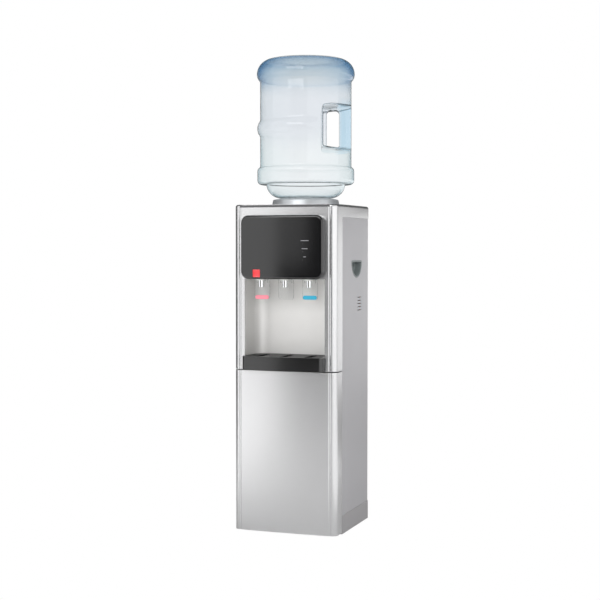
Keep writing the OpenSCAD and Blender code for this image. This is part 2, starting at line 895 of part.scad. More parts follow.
module water_guard() {
    flange_t = 3;
    probe_bore = 4.5;
    probe_top = neck_z0 + 34;
    skirt_r = guard_r + guard_t;
    dip = 12;
    color("white") difference() {
        union() {
            translate([0, bottle_y, 0]) rotate_extrude() {
                translate([guard_r, well_floor - guard_t])
                    square([guard_t, cab_h - flange_t - well_floor + guard_t + eps]);
                translate([guard_r, cab_h - flange_t])
                    square([well_hole_r - run - guard_r, flange_t]);
                translate([well_hole_r - flange_t, cab_h - flange_t])
                    square([flange_t - run, flange_t + 12]);
                translate([0, well_floor - guard_t]) square([skirt_r, guard_t]);
                translate([0, lid_z0 - dip]) square([probe_r, probe_top - lid_z0 + dip]);
                translate([0, lid_z0]) square([skirt_r, lid_t + eps]);
            }
            translate([0, tank_y, lid_z0]) cylinder(h = lid_t, r = tank_r);
        }
        translate([0, bottle_y, lid_z0 - dip - eps])
            cylinder(h = probe_top - lid_z0 + dip + 2 * eps, r = probe_bore);
    }
}

// Bottle, upturned, with a side handle through its wall

dome_r = 42;
dome_drop = 44;
dome_z = seat_z + bottle_h - dome_drop;
lip_r = 26;
lip_drop = 31;
cap_z0 = dome_z - lip_drop + 6;
crown_r = 1000;
band_z0 = seat_z + 38;
band_z1 = seat_z + 88;
band_r = 137.5;
band_edge = 12;
rib_z = seat_z + 196;
rib_r = 137.5;
rib_arc = 34;
rib_gap = 150;
bowl_r = 41;
bowl_x = 71;
bowl_z = seat_z + bowl_r;

// Flat band with rounded corners, revolved with the bottle
module band(r, z0, z1, e) {
    translate([0, z0]) square([r - e, z1 - z0]);
    translate([0, z0 + e]) square([r, z1 - z0 - 2 * e]);
    for (z = [z0 + e, z1 - e]) translate([r - e, z]) circle(e);
}

// Half profile of the bottle without its rib, drawn in by t
module bottle_profile(t) {
    top = seat_z + bottle_h - t;
    intersection() {
        translate([0, neck_z0 - eps]) square([bottle_r, top - neck_z0 + eps]);
        union() {
            translate([0, band_z0 + band_edge]) square([wall_r - t, dome_z - band_z0 - band_edge]);
            translate([0, bowl_z]) square([bowl_x + bowl_r - t, band_z0 + band_edge - bowl_z + eps]);
            band(band_r - t, band_z0 + t, band_z1 - t, band_edge - t);
            translate([bottle_r - dome_r, dome_z]) circle(dome_r - t);
            intersection() {
                translate([0, cap_z0 + t]) square([bottle_r, dome_z - cap_z0]);
                translate([bottle_r - lip_r, dome_z]) circle(lip_r - t);
            }
            intersection() {
                translate([0, seat_z + bottle_h - crown_r]) circle(crown_r - t, $fn = 720);
                translate([0, dome_z]) square([bottle_r - dome_r, bottle_h]);
            }
            translate([bowl_x, bowl_z]) circle(bowl_r - t);
            translate([0, bowl_z - bowl_r + t]) square([bowl_x, bowl_r]);
            translate([0, neck_z0 - (t > 0 ? eps : 0)])
                square([neck_r - t, bottle_h / 2]);
        }
    }
}

window_r0 = 60;
window_r1 = 95;
window_z0 = seat_z + 141;
window_z1 = seat_z + 247;
scoop_r0 = 47;
scoop_z0 = seat_z + 137;
scoop_z1 = seat_z + 256;
web_half = 16;

// Rounded slot across the handle between two radii, grown by g
module handle_slot(r0, r1, z0, z1, round_r, v0, v1, g) {
    translate([(r0 + r1) / 2, v1, (z0 + z1) / 2]) rotate([90, 0, 0]) linear_extrude(v1 - v0)
        round_rect(r1 - r0 + 2 * g, z1 - z0 + 2 * g, round_r + g);
}

module handle_cuts(g) {
    reach = bottle_r + 40;
    handle_slot(window_r0, window_r1, window_z0, window_z1, 10, -bottle_r, bottle_r, g);
    for (side = [-1, 1])
        handle_slot(scoop_r0, reach, scoop_z0, scoop_z1, 12,
            side > 0 ? web_half - g : -bottle_r, side > 0 ? bottle_r : -web_half + g, g);
}

// Rib round the bottle, drawn in by t, its ends clear of the handle
module bottle_rib(t) {
    end_turn = rib_gap / 2 + asin(t / rib_r);
    rotate([0, 0, end_turn]) rotate_extrude(angle = 360 - 2 * end_turn) intersection() {
        translate([rib_r - rib_arc, rib_z]) circle(rib_arc - t);
        translate([wall_r - 2 * bottle_t, rib_z - rib_arc]) square([rib_arc, 2 * rib_arc]);
    }
}

// The whole bottle wall, in the handle's own directions
module bottle_wall() {
    difference() {
        union() {
            rotate_extrude() bottle_profile(0);
            bottle_rib(0);
        }
        difference() {
            union() {
                rotate_extrude() bottle_profile(bottle_t);
                bottle_rib(bottle_t);
            }
            handle_cuts(bottle_t);
        }
        handle_cuts(0);
    }
}

// Part of the bottle wall between two heights, its handle side left out or alone
module bottle_part(z0, z1, handle_out = false, handle_only = false) {
    wide = 2 * bottle_r;
    color([0.75, 0.88, 0.95, 0.5]) translate([0, bottle_y, 0]) rotate([0, 0, handle_turn])
        difference() {
            intersection() {
                bottle_wall();
                block([handle_only ? handle_u : -wide, -wide, z0], [wide, wide, z1]);
            }
            if (handle_out) block([handle_u, -wide, handle_z0], [2 * wide, wide, handle_z1]);
        }
}

shoulder_z0 = seat_z - 2;
shoulder_run = 22;
shoulder_z1 = band_z1 + shoulder_run;
dome_node_h = 80;
dome_z0 = seat_z + bottle_h - dome_node_h;
handle_u = scoop_r0 - bottle_t - 1;
handle_z0 = scoop_z0 - bottle_t - 11;
handle_z1 = scoop_z1 + bottle_t + 12;

module bottle_neck() {
    bottle_part(neck_z0 - eps, shoulder_z0);
}

module bottle_shoulder() {
    bottle_part(shoulder_z0, shoulder_z1);
}

module bottle_body() {
    bottle_part(shoulder_z1, dome_z0, handle_out = true);
}

module bottle_handle() {
    bottle_part(handle_z0, handle_z1, handle_only = true);
}

module bottle_dome() {
    bottle_part(dome_z0, seat_z + bottle_h + eps);
}

cap_t = 2;
cap_skirt = 20;
module bottle_cap() {
    sleeve_r = probe_r + 1.6;
    color("white") translate([0, bottle_y, 0]) rotate_extrude() {
        translate([sleeve_r, neck_z0 - cap_t]) square([neck_r + cap_t + run - sleeve_r, cap_t]);
        translate([neck_r + run, neck_z0 - cap_t]) square([cap_t, cap_t + cap_skirt]);
        translate([sleeve_r, neck_z0 - cap_t]) square([cap_t, cap_t + 12]);
    }
}

// Cold tank with its coil and foam jacket, on a shelf

jacket_front = recess_back + liner_t + jacket_air;
jacket_back = panel_in_y - sheet_t - jacket_air;
tank_y = (jacket_front + jacket_back) / 2;
tank_t = 1.5;
tank_z0 = lid_z0 - tank_h;
coil_r = 3;
coil_gap = 0.02;
foam_r = (jacket_back - jacket_front) / 2;
jacket_r = foam_r - foam_t;
tank_r = jacket_r - 2 * coil_r - 1;
foam_z0 = tank_z0 - foam_t;
shelf_z0 = foam_z0 - 3;
outlet_r = 5;
outlet_bore = 3;
room_out_z = lid_z0 - 26;
cold_out_z = tank_z0 + 24;
feed_x = -30;

module outlets(r) {
    bar_y(0, tank_y - foam_r, tank_y - tank_r + 2, room_out_z, r);
    bar_x(tank_r - 2, foam_r, tank_y, cold_out_z, r);
}

module cold_tank() {
    color("silver") difference() {
        union() {
            translate([0, tank_y, tank_z0]) cylinder(h = tank_h, r = tank_r);
            outlets(outlet_r);
        }
        translate([0, tank_y, tank_z0 + tank_t]) cylinder(h = tank_h, r = tank_r - tank_t);
        bar_y(0, tank_y - foam_r - eps, tank_y - tank_r + 2 + eps, room_out_z, outlet_bore);
        bar_x(tank_r - 2 - eps, foam_r + eps, tank_y, cold_out_z, outlet_bore);
        translate([feed_x, tank_y, tank_z0 - eps]) cylinder(h = 4 * tank_t, r = outlet_r);
    }
}

module evaporator_coil() {
    turns = 9;
    coil_pitch = 10;
    coil_z0 = tank_z0 + 60;
    wind_r = tank_r + coil_r + coil_gap;
    color("peru") translate([0, tank_y, 0]) {
        for (i = [0 : turns - 1]) translate([0, 0, coil_z0 + i * coil_pitch])
            rotate_extrude() translate([wind_r, 0]) circle(coil_r, $fn = 24);
        translate([0, wind_r + 1, coil_z0]) cylinder(h = (turns - 1) * coil_pitch, r = coil_r - 0.5);
    }
}

// Foam jackets of the cold and the hot tank
module tank_jackets() {
    color("ivory") {
        difference() {
            translate([0, tank_y, foam_z0]) cylinder(h = tank_h + foam_t - 8, r = foam_r);
            translate([0, tank_y, tank_z0]) cylinder(h = tank_h + foam_t, r = jacket_r);
            outlets(outlet_r + run);
            translate([feed_x, tank_y, foam_z0 - eps])
                cylinder(h = foam_t + 2 * eps, r = outlet_r + run);
        }
        difference() {
            translate([0, tank_y, hot_z0 - hot_foam_t])
                cylinder(h = hot_h + hot_foam_t, r = hot_foam_r);
            translate([0, tank_y, hot_z0]) cylinder(h = hot_h + hot_foam_t, r = hot_jacket_r);
            bar_x(-hot_foam_r - eps, -hot_r, tank_y, hot_out_z, outlet_r + run);
            bar_y(0, tank_y + hot_r, tank_y + hot_foam_r + eps, drain_z, outlet_r + run);
        }
    }
}

deck_t = 2;
deck_back = back_y - rear_r - 1;

// Shelf under the cold tank and deck over the storage compartment
module inner_decks() {
    shelf_front = recess_back + liner_t + 1;
    drain_notch = [9, 18];
    line_notch = [9, 14];
    deck_notch = [9, 40];
    hose_slot = [14, 46];
    hose_slot_x = hose_x + 2;
    color("lightgray") {
        difference() {
            block([-panel_in_x, shelf_front, shelf_z0], [panel_in_x, deck_back, foam_z0]);
            translate([feed_x, tank_y, shelf_z0 - eps])
                cylinder(h = foam_z0 - shelf_z0 + 2 * eps, r = outlet_r + run);
            for (side = [-1, 1])
                block([side * hose_slot_x - hose_slot[0], shelf_front - eps, shelf_z0 - eps],
                    [side * hose_slot_x + hose_slot[0], shelf_front + hose_slot[1], foam_z0 + eps]);
            rear_notch(suction_x, line_notch, shelf_z0, foam_z0);
        }
        difference() {
            block([-panel_in_x, wrap_y + 1, store_top], [panel_in_x, deck_back, store_top + deck_t]);
            rear_notch(drain_x, drain_notch, store_top, store_top + deck_t);
            rear_notch(suction_x, deck_notch, store_top, store_top + deck_t);
        }
    }
}

// Notch in the rear edge of a deck, size is its half width and its depth
module rear_notch(x, size, z0, z1) {
    block([x - size[0], deck_back - size[1], z0 - eps], [x + size[0], deck_back + eps, z1 + eps]);
}

// Hot tank with its band heater and jacket, on the middle deck

store_top = split_z - 3;
hot_foam_t = 12;
hot_z0 = store_top + deck_t + hot_foam_t;
hot_z1 = hot_z0 + hot_h;
heater_t = 3;
hot_jacket_r = hot_r + heater_t + 0.2;
hot_foam_r = hot_jacket_r + hot_foam_t;
hot_out_z = hot_z1 - 14;
drain_z = hot_z0 + 10;

module hot_tank() {
    feed_r = outlet_r - run;
    color("silver") difference() {
        union() {
            translate([0, tank_y, hot_z0]) cylinder(h = hot_h, r = hot_r);
            bar_x(-hot_foam_r, -hot_r + 2, tank_y, hot_out_z, outlet_r);
            bar_y(0, tank_y + hot_r - 2, tank_y + hot_foam_r, drain_z, outlet_r);
            translate([feed_x, tank_y, hot_z1 - eps])
                cylinder(h = tank_z0 + 2 * tank_t - hot_z1 + eps, r = feed_r);
            for (turn = [90, 210, 330]) rotate_about(0, tank_y, turn)
                translate([24, tank_y, hot_z1 - eps]) cylinder(h = 8, r = 8);
        }
        translate([0, tank_y, hot_z0 + 1.5]) cylinder(h = hot_h - 3, r = hot_r - 1.5);
        bar_x(-hot_foam_r - eps, -hot_r + 3, tank_y, hot_out_z, outlet_bore);
        bar_y(0, tank_y + hot_r - 3, tank_y + hot_foam_r + eps, drain_z, outlet_bore);
        translate([feed_x, tank_y, hot_z1 - 3]) cylinder(h = tank_z0 - hot_z1 + 9, r = outlet_bore);
    }
}

module rotate_about(x, y, angle) {
    translate([x, y, 0]) rotate([0, 0, angle]) translate([-x, -y, 0]) children();
}

module band_heater() {
    band_h = 34;
    band_low = hot_z0 + 34;
    color("gold") difference() {
        translate([0, tank_y, band_low]) cylinder(h = band_h, r = hot_r + heater_t);
        translate([0, tank_y, band_low - eps]) cylinder(h = band_h + 2 * eps, r = hot_r);
    }
}

// Hoses from the tanks to the taps

hose_r = 5;
hose_bore = 3.2;
hose_x = panel_in_x - 37;
hose_y = recess_back + 22;
hose_start_y = barb_end_y;

module hot_hose() {
    hose([
        [-tap_pitch, hose_start_y, barb_z], [-tap_pitch, hose_y, barb_z],
        [-hose_x, hose_y, barb_z], [-hose_x, hose_y, hot_out_z],
        [-hose_x, tank_y, hot_out_z], [-hot_foam_r, tank_y, hot_out_z]], hose_r, hose_bore);
}

module room_hose() {
    lift_y = tank_y - foam_r - 12;
    hose([
        [0, hose_start_y, barb_z], [0, lift_y, barb_z], [0, lift_y, room_out_z],
        [0, tank_y - foam_r, room_out_z]], hose_r, hose_bore);
}

module cold_hose() {
    hose([
        [tap_pitch, hose_start_y, barb_z], [tap_pitch, hose_y, barb_z],
        [hose_x, hose_y, barb_z], [hose_x, hose_y, cold_out_z],
        [hose_x, tank_y, cold_out_z], [foam_r, tank_y, cold_out_z]], hose_r, hose_bore);
}

module water_hoses() {
    color("whitesmoke") {
        hot_hose();
        room_hose();
        cold_hose();
    }
}

// Storage compartment, stepped over the compressor

store_x = store_w / 2;
low_back = comp_y - comp_r - 6;
high_back = panel_in_y - 22;

module store_space(t) {
    block([-store_x - t, wrap_y + (t > 0 ? 0 : -eps), store_z - t],
        [store_x + t, low_back - store_t + t, step_z + store_t + eps]);
    block([-store_x - t, wrap_y + (t > 0 ? 0 : -eps), step_z + (t > 0 ? 0 : store_t)],
        [store_x + t, high_back - store_t + t, store_top - store_t + t]);
}

module storage_liner() {
    face_t = 2.5;
    face_low = base_top;
    color("white") difference() {
        union() {
            store_space(store_t);
            block([-panel_in_x, wrap_y, face_low], [panel_in_x, wrap_y + face_t, store_top]);
        }
        store_space(0);
    }
}

// Storage door: outer skin, inner liner and gasket

door_back_t = 3;
module door_skin() {
    cap_h = 3;
    boss_r = 5;
    boss_h = 14;
    wall_h = split_z - door_z0;
    color("silver") difference() {
        union() {
            translate([0, 0, door_z0]) linear_extrude(wall_h) difference() {
                front_plan(0, door_rear_y);
                front_plan(mould_t, door_rear_y + eps);
            }
            for (z = [door_z0, split_z - cap_h]) translate([0, 0, z])
                linear_extrude(cap_h) front_plan(mould_t / 2, door_rear_y - door_back_t);
            for (z = [door_z0, split_z - boss_h]) translate([hinge_x + 0.3, hinge_y, z])
                cylinder(h = boss_h, r = boss_r);
        }
        creases(door_z0 - eps, split_z + eps);
        for (z = [door_z0 - eps, split_z - boss_h - eps]) translate([hinge_x, hinge_y, z])
            cylinder(h = boss_h + 2 * eps, r = hinge_r + run);
        block([-side_x + mould_t, door_rear_y - door_back_t, door_z0 - eps],
            [side_x - mould_t, door_rear_y + eps, split_z + eps]);
    }
}

module door_liner() {
    color("whitesmoke") block([-side_x + mould_t, door_rear_y - door_back_t, door_z0],
        [side_x - mould_t, door_rear_y, split_z]);
}

module door_gasket() {
    width = 8;
    out_x = store_x + 16;
    low = store_z - 16;
    high = store_top - 2;
    color("gray") difference() {
        block([-out_x, door_rear_y, low], [out_x, wrap_y - seat_gap, high]);
        block([-out_x + width, door_rear_y - eps, low + width],
            [out_x - width, wrap_y + eps, high - width]);
    }
}

module door_hinge_pins() {
    pin_l = 15;
    color("silver") {
        translate([hinge_x, hinge_y, foot_h]) cylinder(h = pin_l, r = hinge_r);
        translate([hinge_x, hinge_y, frame_z0 + 3 - pin_l]) cylinder(h = pin_l, r = hinge_r);
    }
}

// Compressor and condenser

grommet_h = 12;
comp_z0 = base_top + grommet_h + 3;

module compressor() {
    shell_e = 26;
    leg_t = 3;
    color([0.12, 0.12, 0.13]) {
        translate([comp_x, comp_y, comp_z0]) rotate_extrude() intersection() {
            band(comp_r, 0, comp_h, shell_e);
            square([comp_r, comp_h]);
        }
        difference() {
            block([comp_x - comp_foot_x - 11, comp_y - comp_foot_y - 11, comp_z0 - leg_t],
                [comp_x + comp_foot_x + 11, comp_y + comp_foot_y + 11, comp_z0 + eps]);
            comp_foot_places() translate([0, 0, comp_z0 - leg_t - eps])
                cylinder(h = leg_t + 2 * eps + eps, r = comp_bolt_r);
        }
        block([comp_x + comp_r - 10, comp_y - 22, comp_z0 + 40],
            [comp_x + comp_r + 24, comp_y + 22, comp_z0 + 92]);
    }
}

module compressor_grommets() {
    grommet_r = 9;
    color([0.2, 0.2, 0.2]) comp_foot_places() {
        translate([0, 0, base_top]) cylinder(h = grommet_h, r = grommet_r);
        translate([0, 0, foot_h]) cylinder(h = comp_z0 + 6 - foot_h, r = comp_bolt_r);
    }
}

cond_x = side_x - 32;
cond_y = back_y + panel_out - 2 * wire_r - cond_r;
cond_z0 = fit_z + 42;
cond_runs = floor((panel_top - 10 - cond_z0) / cond_pitch);
cond_top = cond_z0 + cond_runs * cond_pitch;
bend_r = cond_pitch / 2;
discharge_x = cond_x + 6;
discharge_y = back_y - 4;
discharge_z = comp_z0 + 100;

module cond_bend(side, z) {
    translate([side * (cond_x - bend_r), cond_y, z]) rotate([90, 0, 0]) rotate([0, 0, side > 0 ? -90 : 90])
        rotate_extrude(angle = 180) translate([bend_r, 0]) circle(cond_r, $fn = 24);
}

module condenser_tube() {
    run_x = cond_x - bend_r;
    hook_z = [cond_z0 + cond_pitch, cond_top - cond_pitch];
    color([0.1, 0.1, 0.1]) {
        for (i = [0 : cond_runs])
            bar_x(-run_x, run_x, cond_y, cond_z0 + i * cond_pitch, cond_r);
        for (i = [0 : cond_runs - 1])
            cond_bend(i % 2 == 0 ? 1 : -1, cond_z0 + (i + 0.5) * cond_pitch);
        for (x = [-cond_x + clip_in, cond_x - clip_in], z = hook_z)
            bar_y(x, rear_out - sheet_t, cond_y, z, screw_r - run);
        for (x = [-cond_x + clip_in, cond_x - clip_in], z = hook_z)
            bar_y(x, rear_out, cond_y, z, 3);
        pipe([[-run_x, cond_y, cond_z0], [-discharge_x, cond_y, cond_z0],
            [-discharge_x, cond_y, discharge_z], [-discharge_x, discharge_y, discharge_z]],
            cond_r);
    }
}

module condenser_wires() {
    count = 22;
    wire_gap = 0.02;
    span = 2 * (cond_x - bend_r) - 16;
    color([0.1, 0.1, 0.1]) for (i = [0 : count - 1], side = [-1, 1])
        translate([-span / 2 + i * span / (count - 1),
            cond_y + side * (cond_r + wire_r + wire_gap), cond_z0 - 14])
            cylinder(h = cond_top - cond_z0 + 28, r = wire_r, $fn = 24);
}

suction_x = panel_in_x - 21;

module refrigerant_lines() {
    line_r = 3;
    dryer_r = 8;
    dryer_h = 90;
    dryer_z = bay_top + 60;
    coil_z = tank_z0 + 66;
    color("peru") {
        pipe([[comp_x + 28, comp_y, comp_z0 + comp_h], [comp_x + 28, comp_y, step_z - 6],
            [suction_x, comp_y, step_z - 6], [suction_x, panel_in_y - 10, step_z - 6],
            [suction_x, panel_in_y - 10, coil_z], [suction_x, tank_y, coil_z],
            [foam_r, tank_y, coil_z]], line_r);
        translate([suction_x, panel_in_y - 10, dryer_z]) cylinder(h = dryer_h, r = dryer_r);
        pipe([[-discharge_x, discharge_y, discharge_z], [-discharge_x, comp_y, discharge_z],
            [comp_x - comp_r, comp_y, discharge_z]], cond_r);
    }
}

// Drain of the hot tank, closed at the rear by a cap

spigot_l = 12;
spigot_r = 7;
module drain_pipe() {
    pipe_r = 5;
    lane_y = panel_in_y - 12;
    color("whitesmoke") difference() {
        union() {
            pipe([[0, tank_y + hot_foam_r, drain_z], [0, lane_y, drain_z], [drain_x, lane_y, drain_z],
                [drain_x, lane_y, fit_z], [drain_x, rear_out, fit_z]], pipe_r);
            bar_y(drain_x, rear_out - sheet_t - 3, rear_out + spigot_l, fit_z, spigot_r);
            bar_y(drain_x, rear_out, rear_out + 2, fit_z, drain_r + 3);
            bar_y(drain_x, rear_out - sheet_t, rear_out + eps, fit_z, drain_r - run);
        }
        bar_y(drain_x, rear_out - 8, rear_out + spigot_l + eps, fit_z, 3);
    }
}

module drain_cap() {
    cap_out_r = 10;
    cap_end = spigot_l + 4;
    color("royalblue") difference() {
        bar_y(drain_x, rear_out + 2 + seat_gap, rear_out + cap_end, fit_z, cap_out_r);
        bar_y(drain_x, rear_out, rear_out + spigot_l + seat_gap, fit_z, spigot_r + run);
    }
}

// Power inlet, rocker switches and cold thermostat in the rear panel

module power_inlet() {
    rim = 4;
    rim_t = 2;
    deep = 18;
    wall = 1.6;
    blade = [1.5, 8, 4];
    color([0.1, 0.1, 0.1]) translate([inlet_x, rear_out, fit_z]) {
        difference() {
            union() {
                block([-inlet_w / 2 - rim, 0, -inlet_h / 2 - rim],
                    [inlet_w / 2 + rim, rim_t, inlet_h / 2 + rim]);
                block([-inlet_w / 2 + run, -deep, -inlet_h / 2 + run],
                    [inlet_w / 2 - run, eps, inlet_h / 2 - run]);
            }
            block([-inlet_w / 2 + wall, -deep + wall, -inlet_h / 2 + wall],
                [inlet_w / 2 - wall, rim_t + eps, inlet_h / 2 - wall]);
        }
        for (p = [[-7, -2], [0, 2], [7, -2]])
            block([p[0] - blade[0] / 2, -deep + wall - eps, p[1] - blade[2] / 2],
                [p[0] + blade[0] / 2, -deep + wall + blade[1], p[1] + blade[2] / 2]);
    }
}

rocker_y = rear_out - 2;
rocker_tilt = 7;
rocker_pin_r = 1.5;
module switch_housing() {
    rim = 3;
    rim_t = 1.6;
    deep = 14;
    color([0.1, 0.1, 0.1]) for (x = [hot_switch_x, cold_switch_x])
        translate([x, rear_out, fit_z]) difference() {
            union() {
                block([-switch_w / 2 - rim, 0, -switch_h / 2 - rim],
                    [switch_w / 2 + rim, rim_t, switch_h / 2 + rim]);
                block([-switch_w / 2 - 1 + run, -deep, -switch_h / 2 - 1 + run],
                    [switch_w / 2 + 1 - run, eps, switch_h / 2 + 1 - run]);
            }
            block([-switch_w / 2, -deep + 1.5, -switch_h / 2], [switch_w / 2, rim_t + eps, switch_h / 2]);
            bar_x(-switch_w / 2 - 0.7, switch_w / 2 + 0.7, rocker_y - rear_out, 0, rocker_pin_r + run);
        }
}

// Rocker with a hollowed face, on two short pins
module rocker(x) {
    half_h = switch_h / 2 - 1.2;
    half_w = switch_w / 2 - seat_gap;
    lift = 4.5;
    dip = 2.4;
    depth = 4;
    translate([x, rocker_y, fit_z]) rotate([-rocker_tilt, 0, 0]) {
        rotate([90, 0, 90]) linear_extrude(2 * half_w, center = true)
            polygon([[lift, -half_h], [dip, 0], [lift, half_h], [0, half_h],
                [-depth, half_h / 2], [-depth, -half_h / 2], [0, -half_h]]);
        bar_x(-switch_w / 2 - 0.5, switch_w / 2 + 0.5, 0, 0, rocker_pin_r);
    }
}

module hot_switch() {
    color("firebrick") rocker(hot_switch_x);
}

module cold_switch() {
    color("seagreen") rocker(cold_switch_x);
}

shaft_end = 9;
module cold_thermostat() {
    body_w = 30;
    body_d = 16;
    color("gray") {
        block([knob_x - body_w / 2, rear_out - sheet_t - body_d, fit_z - body_w / 2],
            [knob_x + body_w / 2, rear_out - sheet_t, fit_z + body_w / 2]);
        bar_y(knob_x, rear_out - sheet_t - eps, rear_out + shaft_end, fit_z, shaft_r);
    }
}

module thermostat_knob() {
    knob_r = 12;
    knob_gap = 0.5;
    grip_w = 3;
    pointer_r = 1;
    color([0.15, 0.15, 0.15]) difference() {
        union() {
            bar_y(knob_x, rear_out + knob_gap, rear_out + 5, fit_z, knob_r);
            bar_y(knob_x, rear_out + 4, rear_out + shaft_end + 4, fit_z, knob_r - 4);
            block([knob_x - grip_w, rear_out + 4, fit_z - knob_r + 2],
                [knob_x + grip_w, rear_out + shaft_end + 4, fit_z + knob_r - 2]);
        }
        bar_y(knob_x, rear_out, rear_out + shaft_end + seat_gap, fit_z, shaft_r + run);
        bar_y(knob_x, rear_out + 4.4, rear_out + 6, fit_z + knob_r - 1.4, pointer_r);
    }
}

base_plate();
levelling_feet();
side_panel_left();
side_panel_right();
rear_panel();
service_plate();
rear_panel_screws();
top_cover();
top_trim();
front_frame();
recess_liner();
control_panel();
indicator_lenses();
child_lock_button();
grip_left();
grip_right();
tap_rail();
hot_tap();
room_tap();
cold_tap();
hot_paddle();
room_paddle();
cold_paddle();
hot_marker();
cold_marker();
drip_tray();
drip_grille();
bottle_collar();
water_guard();
bottle_neck();
bottle_shoulder();
bottle_body();
bottle_handle();
bottle_dome();
bottle_cap();
cold_tank();
evaporator_coil();
tank_jackets();
hot_tank();
band_heater();
water_hoses();
inner_decks();
storage_liner();
door_skin();
door_liner();
door_gasket();
door_hinge_pins();
compressor();
compressor_grommets();
condenser_tube();
condenser_wires();
refrigerant_lines();
drain_pipe();
drain_cap();
power_inlet();
switch_housing();
hot_switch();
cold_switch();
cold_thermostat();
thermostat_knob();
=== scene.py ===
# Visual model of the top load water cooler, in the frame of its CAD model
import json
import math

import bmesh
import bpy
from mathutils import Matrix, Vector

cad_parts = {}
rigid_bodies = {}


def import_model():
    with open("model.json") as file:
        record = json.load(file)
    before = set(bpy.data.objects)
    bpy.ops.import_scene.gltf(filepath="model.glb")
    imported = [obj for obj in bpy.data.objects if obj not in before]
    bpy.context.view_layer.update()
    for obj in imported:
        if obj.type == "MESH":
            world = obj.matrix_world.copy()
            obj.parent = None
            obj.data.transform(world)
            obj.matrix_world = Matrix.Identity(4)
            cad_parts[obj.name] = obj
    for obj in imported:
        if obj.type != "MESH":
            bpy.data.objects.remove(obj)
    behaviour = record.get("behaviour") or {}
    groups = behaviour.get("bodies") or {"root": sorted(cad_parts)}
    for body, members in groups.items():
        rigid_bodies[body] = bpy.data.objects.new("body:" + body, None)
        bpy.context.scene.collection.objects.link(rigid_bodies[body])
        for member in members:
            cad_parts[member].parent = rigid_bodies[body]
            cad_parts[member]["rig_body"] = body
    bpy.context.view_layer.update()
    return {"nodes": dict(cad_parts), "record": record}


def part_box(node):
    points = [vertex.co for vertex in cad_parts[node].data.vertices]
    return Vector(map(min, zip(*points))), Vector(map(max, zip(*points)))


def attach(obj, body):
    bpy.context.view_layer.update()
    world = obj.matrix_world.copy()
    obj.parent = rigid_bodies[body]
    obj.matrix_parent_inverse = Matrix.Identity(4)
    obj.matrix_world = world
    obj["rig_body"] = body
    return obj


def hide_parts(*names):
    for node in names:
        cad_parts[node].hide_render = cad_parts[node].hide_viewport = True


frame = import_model()
MM = 0.001

SLOT_OF = {s["node"]: s["material_slot"] for s in frame["record"]["subparts"]}
BODY_OF = {n: o["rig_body"] for n, o in frame["nodes"].items()}


def box(node):
    """Lowest and highest corner of a CAD node, in mm and to a tenth of one."""
    return [[round(c / MM, 1) for c in corner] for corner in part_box(node)]


def middle(node, axis):
    """Middle of a CAD node along an axis, in mm."""
    return sum(corner[axis] for corner in box(node)) / 2


# Node materials

# Sockets of a colour mix node
FACTOR, COLOUR_A, COLOUR_B, MIXED = 0, 6, 7, 2
# Values between which nearly all of a noise texture lies
NOISE_LOW, NOISE_HIGH = 0.1, 0.9


class Nodes:
    """Short calls for the nodes of a tree."""

    def __init__(self, tree):
        self.tree = tree

    def add(self, kind, **values):
        node = self.tree.nodes.new(kind)
        for key, value in values.items():
            setattr(node, key, value)
        return node

    def feed(self, value, socket):
        """Links a socket to value, or sets it where value is a number or a colour."""
        if isinstance(value, bpy.types.NodeSocket):
            self.tree.links.new(value, socket)
        else:
            socket.default_value = value

    def mapped(self, value, start, end, lo=0.0, hi=1.0, kind="LINEAR"):
        """lo to hi, where value goes from start to end."""
        node = self.add("ShaderNodeMapRange", interpolation_type=kind)
        for name, number in (("From Min", start), ("From Max", end), ("To Min", lo), ("To Max", hi)):
            node.inputs[name].default_value = number
        self.feed(value, node.inputs["Value"])
        return node.outputs["Result"]

    def calc(self, operation, a, b):
        node = self.add("ShaderNodeMath", operation=operation)
        self.feed(a, node.inputs[0])
        self.feed(b, node.inputs[1])
        return node.outputs["Value"]

    def mixed(self, factor, a, b):
        """Colour a, turned into colour b by factor."""
        node = self.add("ShaderNodeMix", data_type="RGBA")
        self.feed(factor, node.inputs[FACTOR])
        self.feed(a, node.inputs[COLOUR_A])
        self.feed(b, node.inputs[COLOUR_B])
        return node.outputs[MIXED]

    def switched(self, a, b):
        """Shader a for most rays, and b for those that the camera sees, through clear parts too."""
        path = self.add("ShaderNodeLightPath")
        seen = self.calc("MAXIMUM", path.outputs["Is Camera Ray"],
                         path.outputs["Is Transmission Ray"])
        node = self.add("ShaderNodeMixShader")
        self.feed(seen, node.inputs["Fac"])
        self.feed(a, node.inputs[1])
        self.feed(b, node.inputs[2])
        return node.outputs["Shader"]


